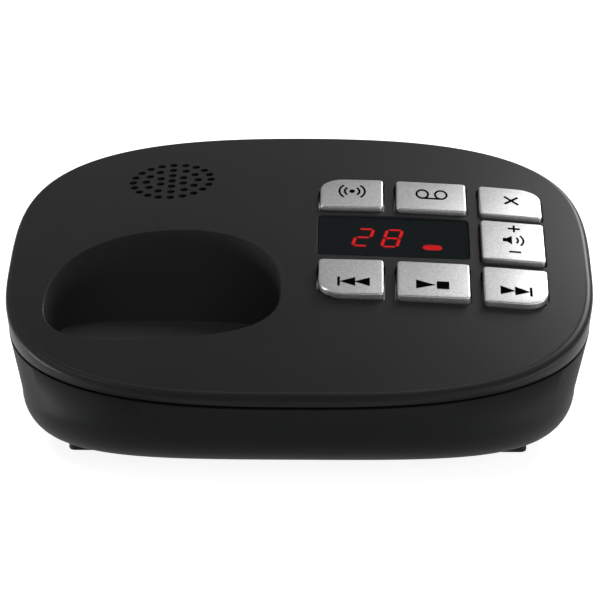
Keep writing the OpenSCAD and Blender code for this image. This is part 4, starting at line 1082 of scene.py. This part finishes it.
gold = gold_flash("gold_flashed_brass")
strip_w, strip_t, strip_r = 2.6, 0.5, 3.2
arch_r = strip_r - strip_t / 2
arch_steps = 24
bend, bend_half, end_gap = 0.35, 0.1, 0.05
strip_half, strip_break = strip_w / 2, 0.12
broken = 1 - 2 * strip_break
across = [(-strip_half, -broken), (-strip_half + strip_break, -1),
          (strip_half - strip_break, -1), (strip_half, -broken),
          (strip_half, broken), (strip_half - strip_break, 1),
          (-strip_half + strip_break, 1), (-strip_half, broken)]
for side, name in ((-1, "left_contact"), (1, "right_contact")):
    low, high = (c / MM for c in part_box(name))
    middle = high.z - strip_r
    foot = low.z + strip_t / 2
    line = [(high.y - contact_y - end_gap, foot), (arch_r + bend, foot),
            (arch_r + bend_half, foot + bend_half), (arch_r, foot + bend)]
    line += [(arch_r * math.cos(t), middle + arch_r * math.sin(t))
             for t in np.linspace(0, math.pi, arch_steps + 1)]
    line += [(-arch_r, foot + bend), (-arch_r - bend_half, foot + bend_half),
             (-arch_r - bend, foot), (low.y - contact_y + end_gap, foot)]
    strip = Build()
    rings = []
    for i, (y, z) in enumerate(line):
        before, after = line[max(i - 1, 0)], line[min(i + 1, len(line) - 1)]
        along = Vector((after[0] - before[0], after[1] - before[1])).normalized()
        out = Vector((along.y, -along.x)) * strip_t / 2
        rings.append([(well_x + side * contact_step / 2 + x, contact_y + y + out.x * s, z + out.y * s)
                      for x, s in across])
    strip.solid(rings)
    piece = strip.piece(name + "_strip", gold)
    smooth(piece, 45)
    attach(piece, name)
    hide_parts(name)


# Sockets in the back wall: a black line socket with six sprung wires and a black power inlet with a pin.
# Both are soldered to the tongue of the main board and look out through the openings of the lower case.
@as_material
def socket_plastic(tree, place):
    """Glass-filled nylon: black, slightly glossy, with a faint flow of fibres."""
    flow = add(tree, "ShaderNodeTexNoise", {
        "Vector": place, "Scale": 1 / (1.2 * MM), "Detail": 4.0, "Distortion": 1.5})
    tone = add(tree, "ShaderNodeMixRGB", {
        "Fac": flow.outputs["Fac"], 1: linear("#121212"), 2: linear("#1c1c1c")})
    rough = add(tree, "ShaderNodeMapRange", {"Value": flow.outputs["Fac"], "To Min": 0.3, "To Max": 0.5})
    return add(tree, "ShaderNodeBsdfPrincipled", {
        "Base Color": tone.outputs[0], "Roughness": rough.outputs[0]})


finish_nodes(socket_plastic("black_nylon"), "line_socket", "power_inlet")
low, high = (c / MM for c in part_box("line_socket"))
socket_x, bay_z, bay_h = (low.x + high.x) / 2, 2.4, 6.7
roof = low.z + bay_z + bay_h
wire_count, wire_pitch, wire_r = 6, 1.02, 0.23
wire_line = [(-11.6, -2.9), (-8.5, -2.6), (-3.2, -0.5), (-2.4, -0.3)]
wires = Build()
for i in range(wire_count):
    x = socket_x + (i - (wire_count - 1) / 2) * wire_pitch
    wires.solid([[(x + wire_r * math.cos(t), high.y + y, roof + z + wire_r * math.sin(t))
                  for t in np.linspace(0, -2 * math.pi, 8, endpoint=False)] for y, z in wire_line])
piece = wires.piece("line_socket_wires", gold)
smooth(piece, 60)
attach(piece, "base")
low, high = (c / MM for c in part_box("power_inlet"))
inlet_x, bore_z, pin_r, tip_r = (low.x + high.x) / 2, low.z + 6.0, 1.04, 0.75
pin = Build()
pin.solid([[(inlet_x + r * math.cos(t), high.y + y, bore_z + r * math.sin(t))
            for t in np.linspace(0, -2 * math.pi, 24, endpoint=False)]
           for r, y in ((pin_r, -9.9), (pin_r, -1.2), (tip_r, -0.7))])
piece = pin.piece("power_inlet_pin", zinc)
smooth(piece, 40)
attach(piece, "base")


# Speaker under the holes: woven cloth, foam gasket, plated steel basket, paper cone and ferrite magnet.
# The cover's ring holds it by three snap tabs, and a twin lead runs down to the main board.
@as_material
def woven(tree, place, dark, light, thread):
    """Plain weave: crossing threads, each a soft ridge.

    A wave node counts twenty radians to a unit of scale, which gives the scale for one thread spacing."""
    scale = 2 * math.pi / (20 * thread * MM)
    warp = add(tree, "ShaderNodeTexWave", {"Vector": place, "Scale": scale}, bands_direction="X")
    weft = add(tree, "ShaderNodeTexWave", {"Vector": place, "Scale": scale}, bands_direction="Y")
    cross = add(tree, "ShaderNodeMath", {0: warp.outputs["Fac"], 1: weft.outputs["Fac"]},
                operation="MULTIPLY")
    tone = add(tree, "ShaderNodeMixRGB", {"Fac": cross.outputs[0], 1: linear(dark), 2: linear(light)})
    bump = add(tree, "ShaderNodeBump", {"Height": cross.outputs[0], "Strength": 0.5, "Distance": 0.1 * MM})
    return add(tree, "ShaderNodeBsdfPrincipled", {
        "Base Color": tone.outputs[0], "Roughness": 0.9, "Specular IOR Level": 0.1,
        "Normal": bump.outputs[0]})


@as_material
def speckled(tree, place, one, two, size, roughness, metallic=0.0, relief=0.2):
    """Two tones in a grain of one real size, with its relief: foam, paper, ferrite, resin or film."""
    grain = add(tree, "ShaderNodeTexNoise", {"Vector": place, "Scale": 1 / (size * MM), "Detail": 4.0})
    tone = add(tree, "ShaderNodeMixRGB", {"Fac": grain.outputs["Fac"], 1: linear(one), 2: linear(two)})
    bump = add(tree, "ShaderNodeBump", {
        "Height": grain.outputs["Fac"], "Strength": relief, "Distance": 0.1 * size * MM})
    return add(tree, "ShaderNodeBsdfPrincipled", {
        "Base Color": tone.outputs[0], "Roughness": roughness, "Metallic": metallic,
        "Normal": bump.outputs[0]})


finish_nodes(woven("black_speaker_cloth", "#070707", "#161616", 0.4), "grille_cloth")
finish_nodes(speckled("grey_gasket_foam", "#161618", "#26262a", 0.6, 0.95, relief=0.6), "speaker_gasket")
finish_nodes(plated_steel("plated_basket_steel", "#9ba0a4", "#83888c"), "speaker_basket")
finish_nodes(speckled("pressed_cone_paper", "#1f1b18", "#302a26", 0.8, 0.9, relief=0.4), "speaker_cone")
finish_nodes(speckled("ground_ferrite", "#4a4d51", "#606468", 0.5, 0.5, 0.3), "speaker_magnet")
finish_nodes(speckled("red_lead_sleeve", "#6e1717", "#862626", 1.0, 0.4), "speaker_lead")


# Boards: glass-epoxy laminate with green solder resist over copper. The main board lies on four stands in
# the bowl, the front board hangs on posts under the keys, with the silicone key mat and the display on it.
@as_material
def solder_resist(tree, place):
    """Green resist: glossy lacquer over copper runs, which show as lighter bands."""
    runs = add(tree, "ShaderNodeTexBrick", {
        "Vector": place, "Color1": linear("#27593a"), "Color2": linear("#2f6a45"),
        "Mortar": linear("#1e4a2e"), "Scale": 1 / (4 * MM), "Mortar Size": 0.03, "Brick Width": 1.7,
        "Row Height": 0.25})
    weave = add(tree, "ShaderNodeTexNoise", {"Vector": place, "Scale": 1 / (0.8 * MM)})
    bump = add(tree, "ShaderNodeBump", {
        "Height": weave.outputs["Fac"], "Strength": 0.1, "Distance": 0.05 * MM})
    return add(tree, "ShaderNodeBsdfPrincipled", {
        "Base Color": runs.outputs["Color"], "Roughness": 0.3, "Normal": bump.outputs[0]})


finish_nodes(solder_resist("green_solder_resist"), "main_board", "front_board")
finish_nodes(soft_rubber("pale_key_silicone", "#c4c2b8", "#d2d0c6"), "key_mat")
finish_nodes(speckled("black_module_resin", "#111112", "#1a1a1b", 0.8, 0.55), "digit_module")
finish_nodes(speckled("pale_holder_nylon", "#d2cebf", "#ddd9cc", 1.5, 0.5), "contact_holder")
finish_nodes(plated_steel("tinned_can_steel", "#babdc0", "#9fa3a7"), "shield_can", "antennas")
finish_nodes(speckled("black_chip_resin", "#1a1b1d", "#26272a", 0.4, 0.7), "processor")
finish_nodes(speckled("blue_capacitor_sleeve", "#222c42", "#2d3954", 2.0, 0.3), "capacitors")
finish_nodes(speckled("yellow_winding_tape", "#b89d3a", "#cbb24f", 1.5, 0.45), "line_transformer")
finish_nodes(speckled("pale_link_film", "#d2cfc4", "#e0ddd4", 1.0, 0.35), "board_link")
